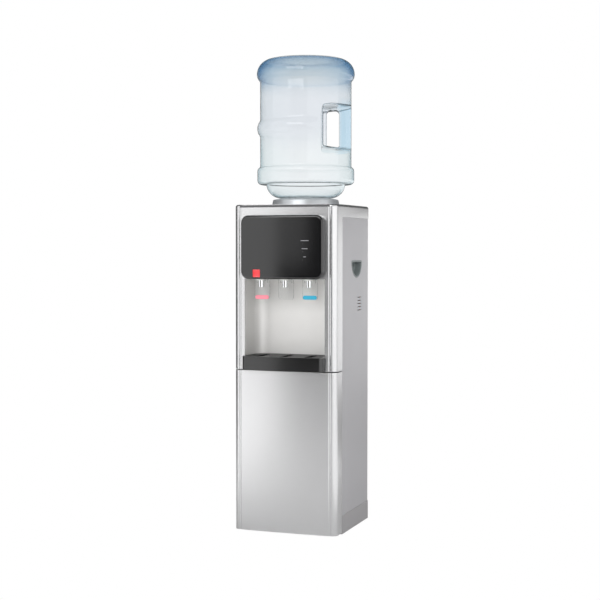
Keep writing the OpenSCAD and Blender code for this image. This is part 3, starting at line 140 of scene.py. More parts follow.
class Surface(Nodes):
    """A new material, with short calls for its nodes."""

    def __init__(self, name):
        self.mat = bpy.data.materials.new(name)
        self.mat.use_nodes = True
        super().__init__(self.mat.node_tree)
        self.shader = self.tree.nodes["Principled BSDF"]
        self.where = self.add("ShaderNodeTexCoord").outputs["Object"]

    def give(self, **sockets):
        """Feeds the shader's sockets, named with _ for a space."""
        for key, value in sockets.items():
            self.feed(value, self.shader.inputs[key.replace("_", " ")])

    def noise(self, scale, detail=3.0, stretch=None):
        node = self.add("ShaderNodeTexNoise")
        node.inputs["Scale"].default_value = scale
        node.inputs["Detail"].default_value = detail
        source = self.where
        if stretch:
            mapping = self.add("ShaderNodeMapping")
            mapping.inputs["Scale"].default_value = stretch
            self.feed(source, mapping.inputs["Vector"])
            source = mapping.outputs["Vector"]
        self.feed(source, node.inputs["Vector"])
        return node.outputs["Fac"]

    def ramp(self, fac, stops):
        node = self.add("ShaderNodeValToRGB")
        els = node.color_ramp.elements
        while len(els) < len(stops):
            els.new(0.5)
        for el, (pos, colour) in zip(els, stops):
            el.position = pos
            el.color = (*colour, 1.0)
        self.feed(fac, node.inputs["Fac"])
        return node.outputs["Color"]

    def spread(self, noise, lo, hi):
        """lo to hi over the whole range of a noise."""
        return self.mapped(noise, NOISE_LOW, NOISE_HIGH, lo, hi)

    def bump(self, height, distance, strength=0.4):
        node = self.add("ShaderNodeBump")
        node.inputs["Strength"].default_value = strength
        node.inputs["Distance"].default_value = distance
        self.feed(height, node.inputs["Height"])
        self.give(Normal=node.outputs["Normal"])


def linear(rgb):
    """sRGB 0 to 255 as linear values."""
    out = []
    for c in rgb:
        c /= 255
        out.append(c / 12.92 if c <= 0.04045 else ((c + 0.055) / 1.055) ** 2.4)
    return tuple(out)


def material(name, rgb, rough, vary, scale, grain, depth, metal=0.0,
             stretch=None, coat=0.0, rough_vary=0.06, detail=4.0, **sockets):
    """A finish with slight drifts of colour and gloss and a fine grain.

    scale and grain are in waves per metre, and depth, that of the grain, is in mm.
    """
    n = Surface(name)
    base = linear(rgb)
    drift = n.noise(scale, detail, stretch)
    pale = tuple(min(1.0, c * (1 + vary)) for c in base)
    deep = tuple(c * (1 - vary) for c in base)
    n.give(Base_Color=n.ramp(drift, [(NOISE_LOW, deep), (NOISE_HIGH, pale)]),
           Roughness=n.spread(drift, max(0.02, rough - rough_vary), rough + rough_vary),
           Metallic=metal)
    if coat:
        n.give(Coat_Weight=coat, Coat_Roughness=0.06)
    n.give(**sockets)
    if depth:
        n.bump(n.noise(grain, 2.0, stretch), depth * MM)
    return n.mat


# Name, colour, roughness, drift of colour, scale, grain, depth of the grain, metal
FINISH = {
    "silver_shell": material("Silver_paint", (205, 205, 206), 0.27, 0.012, 2.5, 4000, 0.0, 0.9,
                             rough_vary=0.006, detail=0.0),
    "side_sheet": material("Side_paint", (178, 177, 180), 0.42, 0.02, 20, 1800, 0.02, 0.2),
    "base_steel": material("Base_paint", (164, 162, 164), 0.42, 0.02, 20, 1800, 0.02, 0.2),
    "galvanised": material("Galvanised", (168, 171, 174), 0.42, 0.14, 90, 900, 0.01, 0.9),
    # The trim strip along the top front edge is dark grey so that it stands in for the shadow in the
    # gap under the top cover's front edge: painted shade
    "dark_trim": material("Dark_trim_and_painted_shade", (78, 78, 80), 0.42, 0.05, 60, 2000, 0.02, 0.1),
    "recess_plastic": material("Recess_plastic", (222, 221, 219), 0.34, 0.015, 40, 2500, 0.01, 0.2),
    "black_gloss": material("Black_gloss", (5, 5, 7), 0.14, 0.1, 40, 800, 0.003, 0.0,
                            rough_vary=0.02, Specular_IOR_Level=0.8),
    "lamp_lens": material("Lamp_lens", (40, 42, 44), 0.2, 0.05, 200, 900, 0.01),
    "red_button": material("Red_button", (238, 52, 58), 0.24, 0.04, 120, 1200, 0.005, coat=0.4),
    "grip_plastic": material("Grip_plastic", (120, 127, 127), 0.42, 0.05, 60, 1200, 0.04),
    "tap_white": material("Tap_white", (224, 224, 220), 0.3, 0.02, 80, 1500, 0.01, coat=0.2),
    "hot_red": material("Hot_pink", (238, 140, 154), 0.34, 0.03, 120, 1500, 0.01),
    "cold_blue": material("Cold_blue", (40, 165, 198), 0.34, 0.03, 120, 1500, 0.01),
    "tray_black": material("Tray_black", (8, 8, 9), 0.18, 0.1, 60, 1400, 0.005,
                           rough_vary=0.02, Specular_IOR_Level=0.8),
    "grille_grey": material("Grille_grey", (24, 24, 25), 0.5, 0.05, 60, 1400, 0.03,
                            Specular_IOR_Level=0.2),
    "collar_silver": material("Collar_silver", (188, 191, 194), 0.33, 0.03, 40, 3500, 0.01, 0.4),
    "guard_white": material("Guard_white", (226, 227, 224), 0.4, 0.02, 60, 1400, 0.02),
    "stainless": material("Stainless", (188, 189, 190), 0.28, 0.08, 40, 900, 0.01, 1.0,
                          stretch=(1, 1, 20)),
    "copper": material("Copper", (190, 118, 84), 0.34, 0.16, 120, 900, 0.01, 1.0),
    "foam": material("Foam", (226, 206, 150), 0.85, 0.08, 160, 700, 0.4),
    "heater_band": material("Heater_band", (176, 160, 118), 0.38, 0.12, 100, 900, 0.02, 0.9),
    "hose_silicone": material("Hose_silicone", (222, 222, 216), 0.42, 0.03, 60, 1200, 0.02,
                              Subsurface_Weight=0.1),
    "liner_white": material("Liner_white", (228, 228, 224), 0.38, 0.02, 40, 1200, 0.03),
    "gasket_grey": material("Gasket_grey", (104, 104, 106), 0.6, 0.05, 90, 1400, 0.04),
    "steel_pin": material("Steel_pin", (170, 171, 174), 0.3, 0.08, 120, 1200, 0.01, 1.0),
    "compressor_black": material("Compressor_black", (24, 25, 27), 0.38, 0.14, 50, 900, 0.04),
    "rubber_black": material("Rubber_black", (28, 28, 28), 0.72, 0.1, 90, 1200, 0.05),
    "condenser_black": material("Condenser_black", (20, 20, 21), 0.42, 0.12, 120, 1200, 0.02),
    "inlet_black": material("Inlet_black", (24, 24, 25), 0.42, 0.1, 90, 1400, 0.03),
    "switch_red": material("Switch_red", (196, 34, 32), 0.26, 0.05, 120, 1200, 0.01, coat=0.3),
    "switch_green": material("Switch_green", (30, 128, 70), 0.26, 0.05, 120, 1200, 0.01, coat=0.3),
    "cap_blue": material("Cap_blue", (44, 92, 176), 0.4, 0.04, 120, 1200, 0.02),
    "zinc_screw": material("Zinc_screw", (186, 188, 190), 0.3, 0.1, 200, 1200, 0.01, 1.0),
    "paddle_clear": material("Clear_paddle", (250, 251, 251), 0.05, 0.005, 120, 900, 0.0,
                             Transmission_Weight=1.0, IOR=1.4, rough_vary=0.02),
}


# Turn of the bottle's handle from +X towards +Y, and its direction
HANDLE_TURN = math.radians(20)
HANDLE_WAY = (math.cos(HANDLE_TURN), math.sin(HANDLE_TURN), 0)

# Heights in m between which the bottle's tint changes
PALER = (1.06, 1.13)
BLUER = (1.22, 1.298)
CROWN = (1.3165, 1.3215)
# The grip bar's foot, its fading top and its distances from the axis, in m
BAR_FOOT = 1.062
BAR_TOP = (1.212, 1.182)
BAR_AWAY = (0.092, 0.112)


def bottle_finish():
    """Clear plastic, bluer in the dome and where the eye meets the wall edge on."""
    n = Surface("Bottle_clear")
    place = n.add("ShaderNodeSeparateXYZ")
    n.feed(n.where, place.inputs["Vector"])
    z = place.outputs["Z"]
    weight = n.add("ShaderNodeLayerWeight")
    weight.inputs["Blend"].default_value = 0.5
    edge_on = weight.outputs["Facing"]
    clear = n.ramp(edge_on, [(0.0, (0.92, 0.94, 0.95)), (0.6, (0.84, 0.89, 0.9)),
                             (1.0, (0.4, 0.6, 0.68))])
    blue = n.ramp(edge_on, [(0.0, (0.72, 0.77, 0.8)), (0.4, (0.53, 0.65, 0.75)),
                            (0.7, (0.1, 0.26, 0.46)), (1.0, (0.02, 0.1, 0.25))])
    body = n.mixed(n.mapped(z, *PALER, hi=0.5), clear, (0.82, 0.84, 0.88, 1))
    domed = n.mixed(n.mapped(z, *BLUER, kind="SMOOTHSTEP"), body, blue)
    # The grip bar of the handle is a pale blue
    along = n.add("ShaderNodeVectorMath", operation="DOT_PRODUCT")
    n.feed(n.where, along.inputs[0])
    n.feed(HANDLE_WAY, along.inputs[1])
    out = n.mapped(along.outputs["Value"], *BAR_AWAY, hi=0.7)
    up = n.calc("MULTIPLY", n.calc("GREATER_THAN", z, BAR_FOOT), n.mapped(z, *BAR_TOP))
    barred = n.mixed(n.calc("MULTIPLY", out, up), domed, (0.66, 0.81, 0.9, 1))
    # The flat crown, seen along its surface, stays pale
    tone = n.mixed(n.mapped(z, *CROWN, hi=0.8), barred, (0.86, 0.9, 0.92, 1))
    n.give(Base_Color=tone, Roughness=n.spread(n.noise(60.0), 0.02, 0.06),
           Transmission_Weight=1.0, IOR=1.33)
    n.bump(n.noise(14.0, 2.0), 0.4 * MM, 0.3)
    return n.mat


FINISH["bottle_clear"] = bottle_finish()


# Mesh helpers

def dress(obj, finish):
    """Gives obj one material."""
    obj.data.materials.clear()
    obj.data.materials.append(finish)


def add(name, mesh, slot_name, body):
    """A new piece in a slot's finish, which rides on a body."""
    obj = bpy.data.objects.new(name, mesh)
    bpy.context.scene.collection.objects.link(obj)
    dress(obj, FINISH[slot_name])
    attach(obj, body)
    return obj


def smooth(mesh, angle=34):
    """Smooth shading, with sharp edges where faces meet at more than an angle in degrees."""
    mesh.shade_smooth()
    mesh.set_sharp_from_angle(angle=math.radians(angle))


def soften(obj, width, segments):
    """Rounds the sharp edges of obj by a width in mm."""
    m = obj.modifiers.new("Soft_edges", "BEVEL")
    m.width = width * MM
    m.segments = segments
    m.limit_method = "ANGLE"
    m.angle_limit = math.radians(32)
    m.harden_normals = True
    m.miter_outer = "MITER_ARC"


# CAD nodes whose faces with holes are cut into triangles when they are remade
SPLIT = ("side_panel_left", "side_panel_right", "door_gasket")


def copied(node):
    """A new mesh with the shape of a CAD node, in clean polygons."""
    bm = bmesh.new()
    bm.from_mesh(frame["nodes"][node].data)
    bmesh.ops.remove_doubles(bm, verts=bm.verts, dist=1e-6)
    bmesh.ops.dissolve_limit(bm, angle_limit=math.radians(0.06), verts=bm.verts, edges=bm.edges)
    if node in SPLIT:
        wide = [f for f in bm.faces if len(f.verts) > 4]
        bmesh.ops.triangulate(bm, faces=wide, ngon_method="EAR_CLIP")
    bm.verts.index_update()
    points = [v.co.copy() for v in bm.verts]
    faces = [[v.index for v in f.verts] for f in bm.faces]
    bm.free()
    mesh = bpy.data.meshes.new(node + "_form")
    mesh.from_pydata(points, [], faces)
    mesh.update()
    smooth(mesh)
    return mesh


def remade(node, width, segments=2):
    """The CAD node's shape with soft edges of a width in mm, in its place."""
    obj = add("vis_" + node, copied(node), SLOT_OF[node], BODY_OF[node])
    soften(obj, width, segments)
    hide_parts(node)
    return obj


def instead(name, mesh, node):
    """A new mesh in the place of a CAD node."""
    obj = add(name, mesh, SLOT_OF[node], BODY_OF[node])
    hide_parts(node)
    return obj


def finished(bm, name):
    """A mesh of bm, with its normals outwards and its sharp edges marked."""
    bmesh.ops.recalc_face_normals(bm, faces=bm.faces)
    mesh = bpy.data.meshes.new(name)
    bm.to_mesh(mesh)
    bm.free()
    smooth(mesh)
    return mesh


def banded(bm, rings):
    """Faces between each ring of vertices and the next."""
    n = len(rings[0])
    for p, q in zip(rings, rings[1:]):
        for k in range(n):
            j = (k + 1) % n
            bm.faces.new([p[k], p[j], q[j], q[k]])


def lathe(profile, x, y, segments):
    """Ring about the upright axis at x, y, from a closed profile of (radius, height)."""
    bm = bmesh.new()
    turns = [2 * math.pi * k / segments for k in range(segments)]
    rings = [[bm.verts.new(((x + r * math.cos(a)) * MM, (y + r * math.sin(a)) * MM, z * MM))
              for a in turns] for r, z in profile]
    banded(bm, rings + rings[:1])
    return finished(bm, "lathe")


def arc(ca, cb, r, start, end, steps):
    """Points from one angle in degrees to another, round the centre ca, cb."""
    turns = [math.radians(start + (end - start) * i / steps) for i in range(steps + 1)]
    return [(ca + r * math.cos(t), cb + r * math.sin(t)) for t in turns]


def rounded(w, h, r, steps, ca, cb):
    """Outline of a rectangle w by h with rounded corners, round the centre ca, cb."""
    out = []
    for sa, sb, turn in ((1, 1, 0), (-1, 1, 90), (-1, -1, 180), (1, -1, 270)):
        out += arc(ca + sa * (w / 2 - r), cb + sb * (h / 2 - r), r, turn, turn + 90, steps)
    return out


def shrinking(w, h, r, steps, ca, cb):
    """A rounded outline as a function of how far it is drawn in."""
    return lambda inset: rounded(w - 2 * inset, h - 2 * inset, max(r - inset, 0.2), steps, ca, cb)


def upright(a, b, depth):
    """A point of an outline in x and y, at a depth along z."""
    return (a, b, depth)


def facing(a, b, depth):
    """A point of an outline in x and z, at a depth along y."""
    return (a, depth, b)


def blob(outline, levels, place):
    """Solid from the outline of each (inset, depth) level, set in space by place."""
    bm = bmesh.new()
    rings = [[bm.verts.new(Vector(place(a, b, depth)) * MM) for a, b in outline(inset)]
             for inset, depth in levels]
    banded(bm, rings)
    bm.faces.new(rings[0])
    bm.faces.new(rings[-1])
    return finished(bm, "blob")


def prism(outline, start, end, place):
    """Solid over an outline, from one depth to another."""
    return blob(lambda inset: outline, [(0.0, start), (0.0, end)], place)


def cut(obj, mesh):
    """Takes the solid in mesh away from obj."""
    tool = bpy.data.objects.new("tool", mesh)
    bpy.context.scene.collection.objects.link(tool)
    m = obj.modifiers.new("Cut", "BOOLEAN")
    m.operation = "DIFFERENCE"
    m.solver = "EXACT"
    m.object = tool
    graph = bpy.context.evaluated_depsgraph_get()
    graph.update()
    left = bpy.data.meshes.new_from_object(obj.evaluated_get(graph))
    obj.modifiers.clear()
    obj.data = left
    bpy.data.objects.remove(tool)


def share(value):
    """value, held between 0 and 1."""
    return min(max(value, 0), 1)


# CAD nodes that stay take their finishes

for node, obj in frame["nodes"].items():
    dress(obj, FINISH[SLOT_OF[node]])

# Edge width in mm of the nodes that are remade in soft edges
SOFT = {
    "base_plate": 0.4, "levelling_feet": 0.6, "side_panel_left": 0.4, "side_panel_right": 0.4,
    "rear_panel": 0.3, "service_plate": 0.3, "inner_decks": 0.3, "top_cover": 0.4,
    "top_trim": 0.8, "front_frame": 0.8, "recess_liner": 0.8, "hot_tap": 0.7, "room_tap": 0.7,
    "cold_tap": 0.7, "drip_grille": 0.4, "door_skin": 0.9, "door_liner": 0.8,
    "door_gasket": 0.8, "storage_liner": 0.6, "power_inlet": 0.4, "switch_housing": 0.3,
    "hot_switch": 0.4, "cold_switch": 0.4, "thermostat_knob": 0.6, "drain_cap": 0.8,
    "rear_panel_screws": 0.3, "water_guard": 0.4, "compressor": 1.2, "tap_rail": 0.3,
    "door_hinge_pins": 0.4,
}
for node, width in SOFT.items():
    remade(node, width)

# Bottle: turned wall with a handle pressed in and a slot through it

BOTTLE_Y = middle("bottle_collar", 1)
MOUTH = box("bottle_neck")[0][2]
BOTTLE_TOP = box("bottle_dome")[1][2]
BOTTLE_WALL = 2.0
NECK_R, NECK_FILLET = 27.5, 6
# Height of the shoulder's flat rim, which sits on the collar
SEAT = 932.0
# Roundness of the shoulder and its widest radius
SHOULDER_R, SHOULDER_MAX = 41, 112
# Radius of the plain wall, and of the lower band and the hoop
WALL, BAND = 129.5, 137.5
# Roundness of the band's edges, and the heights between which it is straight
BAND_EDGE, BAND_LOW, BAND_HIGH = 12, 982, 1008
# Middle of the hoop and its roundness
HOOP_Z, HOOP_R = 1128, 34
# Height of the dome's widest ring, its radius, and the roundness above and below it
DOME_Z, DOME_MAX, DOME_R, DOME_FOOT_R = 1281, 138.5, 42, 26
CROWN_R = 1000
# The top of the crown stays this far under that of the CAD model
CROWN_GAP = 0.01

# Handle: half the thickness of its web, and how far from the bottle's axis the floors beside it
# lie, with the blends between web and floor and at the rim
WEB, FLOOR, FLOOR_BLEND, RIM_BLEND = 16, 47, 9.0, 7.0
# Heights between which the handle is pressed in, and the length of its soft ends
PRESS_LOW, PRESS_HIGH, PRESS_END = 1067, 1190, 13
# Degrees from the handle at which the hoop starts, and over which it rises
HOOP_STOP, HOOP_FADE = 73, 8
# Slot through the web: width, height and corner, place and reach to each side
WINDOW_W, WINDOW_H, WINDOW_R = 35, 106, 10
WINDOW_AWAY, WINDOW_Z, WINDOW_REACH = 77.5, 1126, 26


def meet(a, b, k):
    """The smaller of a and b, blended over k."""
    h = max(k - abs(a - b), 0.0) / k
    return min(a, b) - h * h * k / 4


def join(a, b, k):
    """The larger of a and b, blended over k."""
    return -meet(-a, -b, k)


def hoop(z):
    """Radius of the wall at a height on or beside the hoop."""
    inside = HOOP_R ** 2 - (z - HOOP_Z) ** 2
    return join(WALL, BAND - HOOP_R + math.sqrt(inside), 3.0) if inside > 0 else WALL


def bottle_profile():
    """(radius, height) from the mouth to the crown."""
    p = [(NECK_R, z) for z in (MOUTH, 860, 880, 900, 924)]
    p += arc(NECK_R + NECK_FILLET, SEAT - NECK_FILLET, NECK_FILLET, 180, 90, 6)
    p += [(50, SEAT), (62, SEAT)]
    p += arc(SHOULDER_MAX - SHOULDER_R, SEAT + SHOULDER_R, SHOULDER_R, -90, -6, 20)
    p += [(SHOULDER_MAX + 0.6, BAND_LOW - BAND_EDGE)]
    p += arc(BAND - BAND_EDGE, BAND_LOW, BAND_EDGE, -90, 0, 10)
    p += [(BAND, z) for z in (988, 995, 1002)]
    p += arc(BAND - BAND_EDGE, BAND_HIGH, BAND_EDGE, 0, 62, 8)
    p += [(WALL + 0.3, 1020.5), (WALL, 1023)]
    p += [(WALL, z) for z in range(1027, 1060, 5)]
    p += [(hoop(z), z) for z in range(1060, 1200, 2)]
    p += [(WALL, z) for z in range(1200, 1256, 6)]
    p += [(WALL, 1257), (WALL + 0.2, 1259)]
    p += arc(DOME_MAX - DOME_FOOT_R, DOME_Z, DOME_FOOT_R, -46, -4, 9)
    p += arc(DOME_MAX - DOME_R, DOME_Z, DOME_R, 0, 74, 22)
    p += [(r, BOTTLE_TOP - CROWN_R + math.sqrt(CROWN_R ** 2 - r ** 2))
          for r in (82, 74, 64, 52, 38, 24, 12, 5)]
    return p


def handle_radius(wall, angle):
    """Radius of the pressed-in wall at an angle from the handle."""
    s, c = abs(math.sin(angle)), math.cos(angle)
    if c <= 0.05:
        return wall
    web = WEB / max(s, 1e-6)
    floor = FLOOR / c
    return min(wall, meet(wall, join(web, floor, FLOOR_BLEND), RIM_BLEND))


def bottle_angles():
    """Angles of the wall's points from the handle, closest at its web."""
    angles = []
    a = -180.0
    while a < 180:
        angles.append(math.radians(a))
        size = abs(a)
        a += 0.6 if size < 26 else (1.5 if size < 76 else 3.0)
    return angles


def bottle_mesh():
    bm = bmesh.new()
    angles = bottle_angles()
    rings = []
    for r, z in bottle_profile():
        t = share((z - PRESS_LOW) / PRESS_END) * share((PRESS_HIGH - z) / PRESS_END)
        pressed = t * t * (3 - 2 * t)
        ring = []
        for a in angles:
            rr = r
            if abs(z - HOOP_Z) < HOOP_R:
                size = math.degrees(abs(math.remainder(a, 2 * math.pi)))
                rr = WALL + (r - WALL) * share((size - HOOP_STOP) / HOOP_FADE)
            rr += (handle_radius(rr, a) - rr) * pressed
            g = a + HANDLE_TURN
            ring.append(bm.verts.new((rr * math.cos(g) * MM, (BOTTLE_Y + rr * math.sin(g)) * MM,
                                      z * MM)))
        rings.append(ring)
    banded(bm, rings)
    crown = bm.verts.new((0, BOTTLE_Y * MM, (BOTTLE_TOP - CROWN_GAP) * MM))
    last = rings[-1]
    for k, vert in enumerate(last):
        bm.faces.new([vert, last[(k + 1) % len(last)], crown])
    bm.faces.new(rings[0])
    return finished(bm, "bottle")


def open_mouth(mesh):
    """Deletes the flat face over the bottle's mouth, which only the cut needs."""
    bm = bmesh.new()
    bm.from_mesh(mesh)
    flat = [f for f in bm.faces if abs(f.normal.z) > 0.9
            and f.calc_center_median().z < (MOUTH + 0.2) * MM]
    bmesh.ops.delete(bm, geom=flat, context="FACES_ONLY")
    bm.to_mesh(mesh)
    bm.free()


bottle = add("vis_bottle", bottle_mesh(), "bottle_clear", "bottle")
window = prism(rounded(WINDOW_W, WINDOW_H, WINDOW_R, 8, WINDOW_AWAY, WINDOW_Z),
               -WINDOW_REACH, WINDOW_REACH, facing)
window.transform(Matrix.Translation((0, BOTTLE_Y * MM, 0)) @ Matrix.Rotation(HANDLE_TURN, 4, "Z"))
cut(bottle, window)
open_mouth(bottle.data)
dress(bottle, FINISH["bottle_clear"])
smooth(bottle.data, 50)
shell = bottle.modifiers.new("Wall", "SOLIDIFY")
shell.thickness = BOTTLE_WALL * MM
shell.offset = -1.0
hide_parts(*[n for n in frame["nodes"] if n.startswith("bottle_")
                     and n not in ("bottle_cap", "bottle_collar")])

# Cap of the bottle, with its skirt round the neck and a sleeve for the probe
CAP_LOW, CAP_HIGH = (corner[2] for corner in box("bottle_cap"))
CAP_R, SKIRT_BORE, SLEEVE_R, SLEEVE_BORE = 29.6, 27.6, 10.6, 8.7
CAP_FLOOR, SLEEVE_END = CAP_LOW + 2.1, CAP_LOW + 14
cap = [(SLEEVE_BORE, CAP_LOW), (CAP_R - 0.5, CAP_LOW), (CAP_R, CAP_LOW + 0.6),
       (CAP_R, CAP_HIGH - 0.6), (CAP_R - 0.5, CAP_HIGH), (SKIRT_BORE, CAP_HIGH),
       (SKIRT_BORE, CAP_FLOOR), (SLEEVE_R, CAP_FLOOR), (SLEEVE_R, SLEEVE_END),
       (SLEEVE_BORE, SLEEVE_END)]
instead("vis_bottle_cap", lathe(cap, 0, BOTTLE_Y, 96), "bottle_cap")

# Collar round the bottle, from its flat foot over its outer rim to its bore
COLLAR_BORE, COLLAR_R, COLLAR_FOOT = 55, box("bottle_collar")[1][0], box("bottle_collar")[0][2]
collar = [(COLLAR_BORE, COLLAR_FOOT), (COLLAR_R, COLLAR_FOOT), (COLLAR_R, COLLAR_FOOT + 1),
          (95.4, 914), (94.6, 918), (93.6, 922.4), (93.0, 925.0)]
collar += arc(90.2, 924.6, 2.8, 15, 80, 6)
collar += [(88.6, 927.6), (86.5, 928.2), (76, 930.2), (67.5, 931.4), (64, 931.6), (57.5, 931.6),
           (56.2, 931.2), (55.4, 929.6)]
instead("vis_collar", lathe(collar, 0, BOTTLE_Y, 160), "bottle_collar")

# Bowed fronts: how far their sides lie back, and the width of the strips that they are cut into
BOW, STRIP = 2.5, 6.0


def bow_at(x, half):
    """How far back the bow lies at x, on a piece whose sides are at -half and half."""
    return BOW * (x / half) ** 2


def bowed(mesh, half, front, rear):
    """Bends a mesh back towards its sides, fully at the front and not at all at the rear."""
    bm = bmesh.new()
    bm.from_mesh(mesh)
    x = 4 - half
    while x < half:
        bmesh.ops.bisect_plane(bm, geom=bm.verts[:] + bm.edges[:] + bm.faces[:], dist=1e-7,
                               plane_co=(x * MM, 0, 0), plane_no=(1, 0, 0))
        x += STRIP
    for v in bm.verts:
        bend = share((rear - v.co.y / MM) / (rear - front))
        v.co.y += bow_at(v.co.x / MM, half) * bend * MM
    bm.to_mesh(mesh)
    bm.free()


# Control panel with a soft front edge

PANEL_LOW, PANEL_HIGH = box("control_panel")
PANEL_HALF = PANEL_HIGH[0]
PANEL_H = PANEL_HIGH[2] - PANEL_LOW[2]
PANEL_Z = middle("control_panel", 2)
PANEL_SKIN = PANEL_LOW[1]
# The panel's back edge, and how far back the solid reaches that hollows it out
PANEL_BACK, PANEL_OPEN = -147.6, -140
PANEL_CORNER, PANEL_EDGE, PANEL_WALL = 20, 6, 3
# Depths between which the panel's bow fades, and those between which its front is cut through
PANEL_FADE, THROUGH = (-160.0, -150.0), (-180, -165)
# Slots for the taps through the panel's lower wall: width, length, corner, place and heights
SLOT_W, SLOT_L, SLOT_CORNER, SLOT_Y, SLOT_HEIGHTS = 41, 47, 3, -133.5, (700, 711)
TAP_X = {name: middle(name + "_tap", 0) for name in ("hot", "room", "cold")}
BUTTON_X, BUTTON_Z, BUTTON_W, BUTTON_CORNER = -72, 721.5, 21, 2.2
BUTTON_HOLE = BUTTON_W + 0.6
LAMP_X, LAMP_ROWS, LAMP_R = 63, (802, 781, 759), 1.45


def panel_outline(wall):
    """The panel's outline, drawn in by a wall."""
    return shrinking(2 * PANEL_HALF - 2 * wall, PANEL_H - 2 * wall, PANEL_CORNER - wall, 12,
                     0, PANEL_Z)


edge = arc(PANEL_EDGE, PANEL_SKIN + PANEL_EDGE, PANEL_EDGE, -90, -170, 8)
outside = [(9.0, PANEL_SKIN), *edge, (0.0, PANEL_SKIN + PANEL_EDGE), (0.0, PANEL_BACK)]
inside = [(0.0, PANEL_OPEN), (0.0, PANEL_SKIN + PANEL_EDGE), (1.0, PANEL_SKIN + 4),
          (3.0, PANEL_SKIN + PANEL_WALL)]
panel = instead("vis_control_panel", blob(panel_outline(0), outside, facing), "control_panel")
cut(panel, blob(panel_outline(PANEL_WALL), inside, facing))
for x in TAP_X.values():
    cut(panel, prism(rounded(SLOT_W, SLOT_L, SLOT_CORNER, 4, x, SLOT_Y), *SLOT_HEIGHTS, upright))
cut(panel, prism(rounded(BUTTON_HOLE, BUTTON_HOLE, BUTTON_CORNER, 6, BUTTON_X, BUTTON_Z),
                 *THROUGH, facing))
for z in LAMP_ROWS:
    cut(panel, prism(arc(LAMP_X, z, LAMP_R + 0.05, 0, 345, 23), *THROUGH, facing))
bowed(panel.data, PANEL_HALF, *PANEL_FADE)
smooth(panel.data, 30)
dress(panel, FINISH["black_gloss"])

# Child lock button, dished
button = blob(shrinking(BUTTON_W, BUTTON_W, BUTTON_CORNER, 6, BUTTON_X, BUTTON_Z),
              [(5.0, -173.35), (2.2, -173.55), (1.2, -173.8), (0.6, -173.88), (0.2, -173.7),
               (0.0, -173.2), (0.0, -169)], facing)
button.transform(Matrix.Translation((0, bow_at(BUTTON_X, PANEL_HALF) * MM, 0)))
instead("vis_child_lock", button, "child_lock_button")

# Indicator lamps
bm = bmesh.new()
for z in LAMP_ROWS:
    ball = bmesh.ops.create_uvsphere(bm, u_segments=24, v_segments=12, radius=LAMP_R * MM)["verts"]
    bmesh.ops.scale(bm, vec=(1, 0.35, 1), verts=ball)
    skin = PANEL_SKIN + bow_at(LAMP_X, PANEL_HALF)
    bmesh.ops.translate(bm, vec=Vector((LAMP_X, skin + 0.3, z)) * MM, verts=ball)
mesh = bpy.data.meshes.new("lamps")
bm.to_mesh(mesh)
bm.free()
mesh.shade_smooth()
instead("vis_lamps", mesh, "indicator_lenses")

# Short dashes beside the lamps: place in z and width of each, then what they share
DASHES = ((810.5, 23), (788.8, 17.5), (766.9, 8.5))
DASH_X, DASH_H, DASH_CORNER, DASH_SLANT = 68.3, 2.0, 0.9, 0.025
dash = material("Dash_print", (138, 138, 142), 0.4, 0.05, 300, 900, 0.0)


def on_panel(a, b, depth):
    """A point of an outline in x and z, on the slant of the bowed panel beside the lamps."""
    return (a, depth + bow_at(DASH_X, PANEL_HALF) + (a - DASH_X) * DASH_SLANT, b)


for k, (z, w) in enumerate(DASHES):
    mesh = blob(shrinking(w, DASH_H, DASH_CORNER, 4, DASH_X, z),
                [(0.1, PANEL_SKIN - 0.1), (0.0, PANEL_SKIN + 0.6)], on_panel)
    dress(add("vis_dash_%d" % (k + 1), mesh, "lamp_lens", "cabinet"), dash)

# Drip tray with its front bowed like the panel
TRAY_HALF, TRAY_FADE = box("drip_tray")[1][0], (-164.0, -152.0)
tray = remade("drip_tray", 0.9, 3)
bowed(tray.data, TRAY_HALF, *TRAY_FADE)
smooth(tray.data)

# Hand grips: half-round cups with a rolled rim
GRIP_Y, GRIP_Z, GRIP_R, GRIP_CORNER = middle("grip_right", 1), 753.0, 43.0, 5.0


def grip_outline(inset):
    """Half round in y and z, flat on top, drawn in by an inset."""
    r = GRIP_R - inset
    top = GRIP_Z - inset - GRIP_CORNER
    side = r - GRIP_CORNER
    turn = math.degrees(GRIP_CORNER / r) + 2
    return (arc(GRIP_Y + side, top, GRIP_CORNER, 0, 90, 6)
            + arc(GRIP_Y - side, top, GRIP_CORNER, 90, 180, 6)
            + arc(GRIP_Y, GRIP_Z, r, 180 + turn, 360 - turn, 44))


# (inset, x) from the cup's back along its outside, round the rim and in again
cup = [(9, 127.5), (0.6, 127.5), (0.2, 128.0), (0.2, 148.4), (-2.8, 148.5), (-2.8, 149.1),
       (-2.4, 149.5), (-1.8, 149.7), (0.4, 149.7), (1.2, 149.5), (1.8, 149.0), (2.0, 148.2),
       (2.6, 141.0), (3.2, 134.0), (3.9, 131.6), (5.2, 130.2), (7.5, 129.6), (10, 129.5)]
for side, name in ((1, "right"), (-1, "left")):
    instead("vis_grip_" + name, blob(grip_outline, cup, lambda a, b, c: (side * c, a, b)),
            "grip_" + name)

# Bright sleeves on the spouts
SPOUT_Y, SPOUT_BORE, SLEEVE_TOP = -143, 4.1, 704
chrome = material("Chrome", (236, 237, 238), 0.08, 0.02, 200, 900, 0.0, 1.0, rough_vary=0.02)
sleeve = [(SPOUT_BORE, 683.0), (4.4, 682.9), (6.7, 682.9), (7.1, 683.3), (7.15, 684),
          (7.15, SLEEVE_TOP), (SPOUT_BORE, SLEEVE_TOP)]
for name, x in TAP_X.items():
    dress(add("vis_%s_spout" % name, lathe(sleeve, x, SPOUT_Y, 48), "steel_pin", "cabinet"), chrome)

# Push paddles: clear blades with rounded edges, ears and a pin. The room tap has no marker
for name in TAP_X:
    remade(name + "_paddle", 0.5, 3)
    if name != "room":
        remade(name + "_marker", 0.5, 3)

# Room, lights and camera

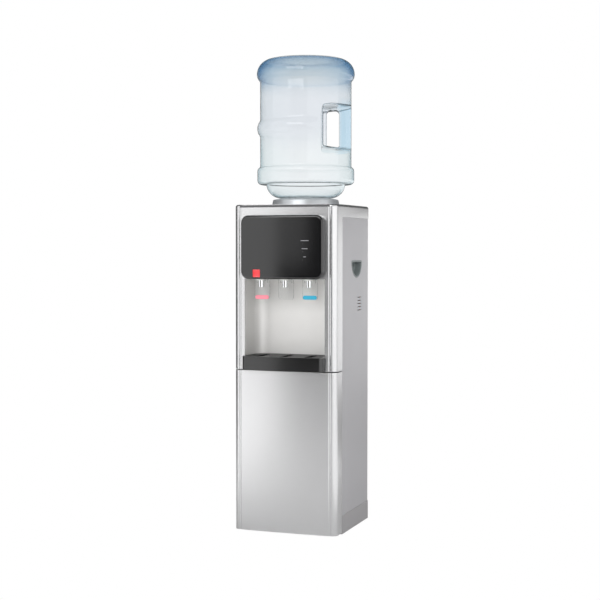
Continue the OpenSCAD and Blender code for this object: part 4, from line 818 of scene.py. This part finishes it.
scene = bpy.context.scene
world = bpy.data.worlds.new("Studio")
scene.world = world
world.use_nodes = True
sky = Nodes(world.node_tree)
sky.tree.nodes.clear()
dim = sky.add("ShaderNodeBackground")
dim.inputs["Color"].default_value = (1, 1, 1, 1)
dim.inputs["Strength"].default_value = 0.08
white = sky.add("ShaderNodeBackground")
white.inputs["Color"].default_value = (1, 1, 1, 1)
white.inputs["Strength"].default_value = 1.0
sky.feed(sky.switched(dim.outputs["Background"], white.outputs["Background"]),
         sky.add("ShaderNodeOutputWorld").inputs["Surface"])

# Floor: it throws light back at the cooler, and the camera sees it as plain white
FLOOR_SIZE, FLOOR_DROP = 6.0, 0.0004
bm = bmesh.new()
bmesh.ops.create_grid(bm, x_segments=8, y_segments=8, size=FLOOR_SIZE)
mesh = bpy.data.meshes.new("floor")
bm.to_mesh(mesh)
bm.free()
floor = bpy.data.objects.new("floor", mesh)
floor.location.z = -FLOOR_DROP
scene.collection.objects.link(floor)
ground = Surface("Floor")
ground.give(Roughness=0.9, Base_Color=ground.ramp(ground.noise(3.0), [(0.3, (0.7, 0.7, 0.7)),
                                                                      (0.7, (0.74, 0.74, 0.74))]))
glow = ground.add("ShaderNodeEmission")
glow.inputs["Strength"].default_value = 1.0
ground.feed(ground.switched(ground.shader.outputs["BSDF"], glow.outputs["Emission"]),
            ground.tree.nodes["Material Output"].inputs["Surface"])
mesh.materials.append(ground.mat)


def light(name, place, aim, size, watts, *unseen):
    """Area lamp that some kinds of ray don't see, and none that passes through clear parts."""
    data = bpy.data.lights.new(name, "AREA")
    data.shape = "RECTANGLE"
    data.size, data.size_y = size
    data.energy = watts
    obj = bpy.data.objects.new(name, data)
    obj.location = place
    obj.rotation_euler = (Vector(aim) - Vector(place)).to_track_quat("-Z", "Y").to_euler()
    for ray in (*unseen, "transmission"):
        setattr(obj, "visible_" + ray, False)
    scene.collection.objects.link(obj)
    return obj


# Place, aim and size in m, watts, and the rays that don't see the lamp
light("Key", (-1.12, -1.14, 1.32), (0, 0, 1.32), (1.46, 2.6), 14.8)
light("Edge", (-0.51, -1.74, 1.11), (0.191, -1.027, 1.11), (0.25, 0.78), 0.38, "camera")
light("Corner", (3.3, -1.5, 1.3), (0, 0, 0.75), (6.5, 2.8), 92, "diffuse")
light("Rim", (2.05, 3.0, 0.52), (0, 0, 0.52), (5.2, 1.02), 20, "diffuse", "camera")
light("High", (-0.3, -3.2, 2.2), (0, 0, 0.9), (2.4, 1.2), 45, "diffuse")
light("Pool", (-1.05, -0.95, 0.5), (-1.05, -0.95, 0), (0.7, 0.9), 8, "glossy", "camera")
sheen = light("Sheen", (1.85, -0.3, 0.02), (1.85, -0.3, 1), (2.7, 2.6), 14, "diffuse", "camera")
# It shines straight up, where an aim leaves its turn open
sheen.rotation_euler = (math.pi, 0, 0)
light("Front", (0.3, -3.6, 1.2), (0, 0, 0.75), (2.0, 2.0), 58, "glossy")
light("Fill", (1.9, -2.9, 1.2), (0, 0, 0.75), (1.4, 1.6), 17, "glossy")
light("Side", (2.5, 0.2, 2.2), (0, 0, 0.9), (1.2, 1.6), 35, "glossy")
light("Top", (0.3, 0.2, 3.2), (0, 0, 1.0), (2.0, 2.0), 36, "glossy")

# Camera as fitted to the photo: degrees down from level and round from the front
TILT, TURN = 2.3, 20.185
data = bpy.data.cameras.new("Camera")
data.lens = 78.78
data.sensor_width = 36
camera = bpy.data.objects.new("Camera", data)
camera.location = (1.2768, -3.4958, 0.7927)
camera.rotation_euler = (math.radians(90 - TILT), 0, math.radians(TURN))
scene.collection.objects.link(camera)
scene.camera = camera
scene.view_settings.view_transform = "Standard"
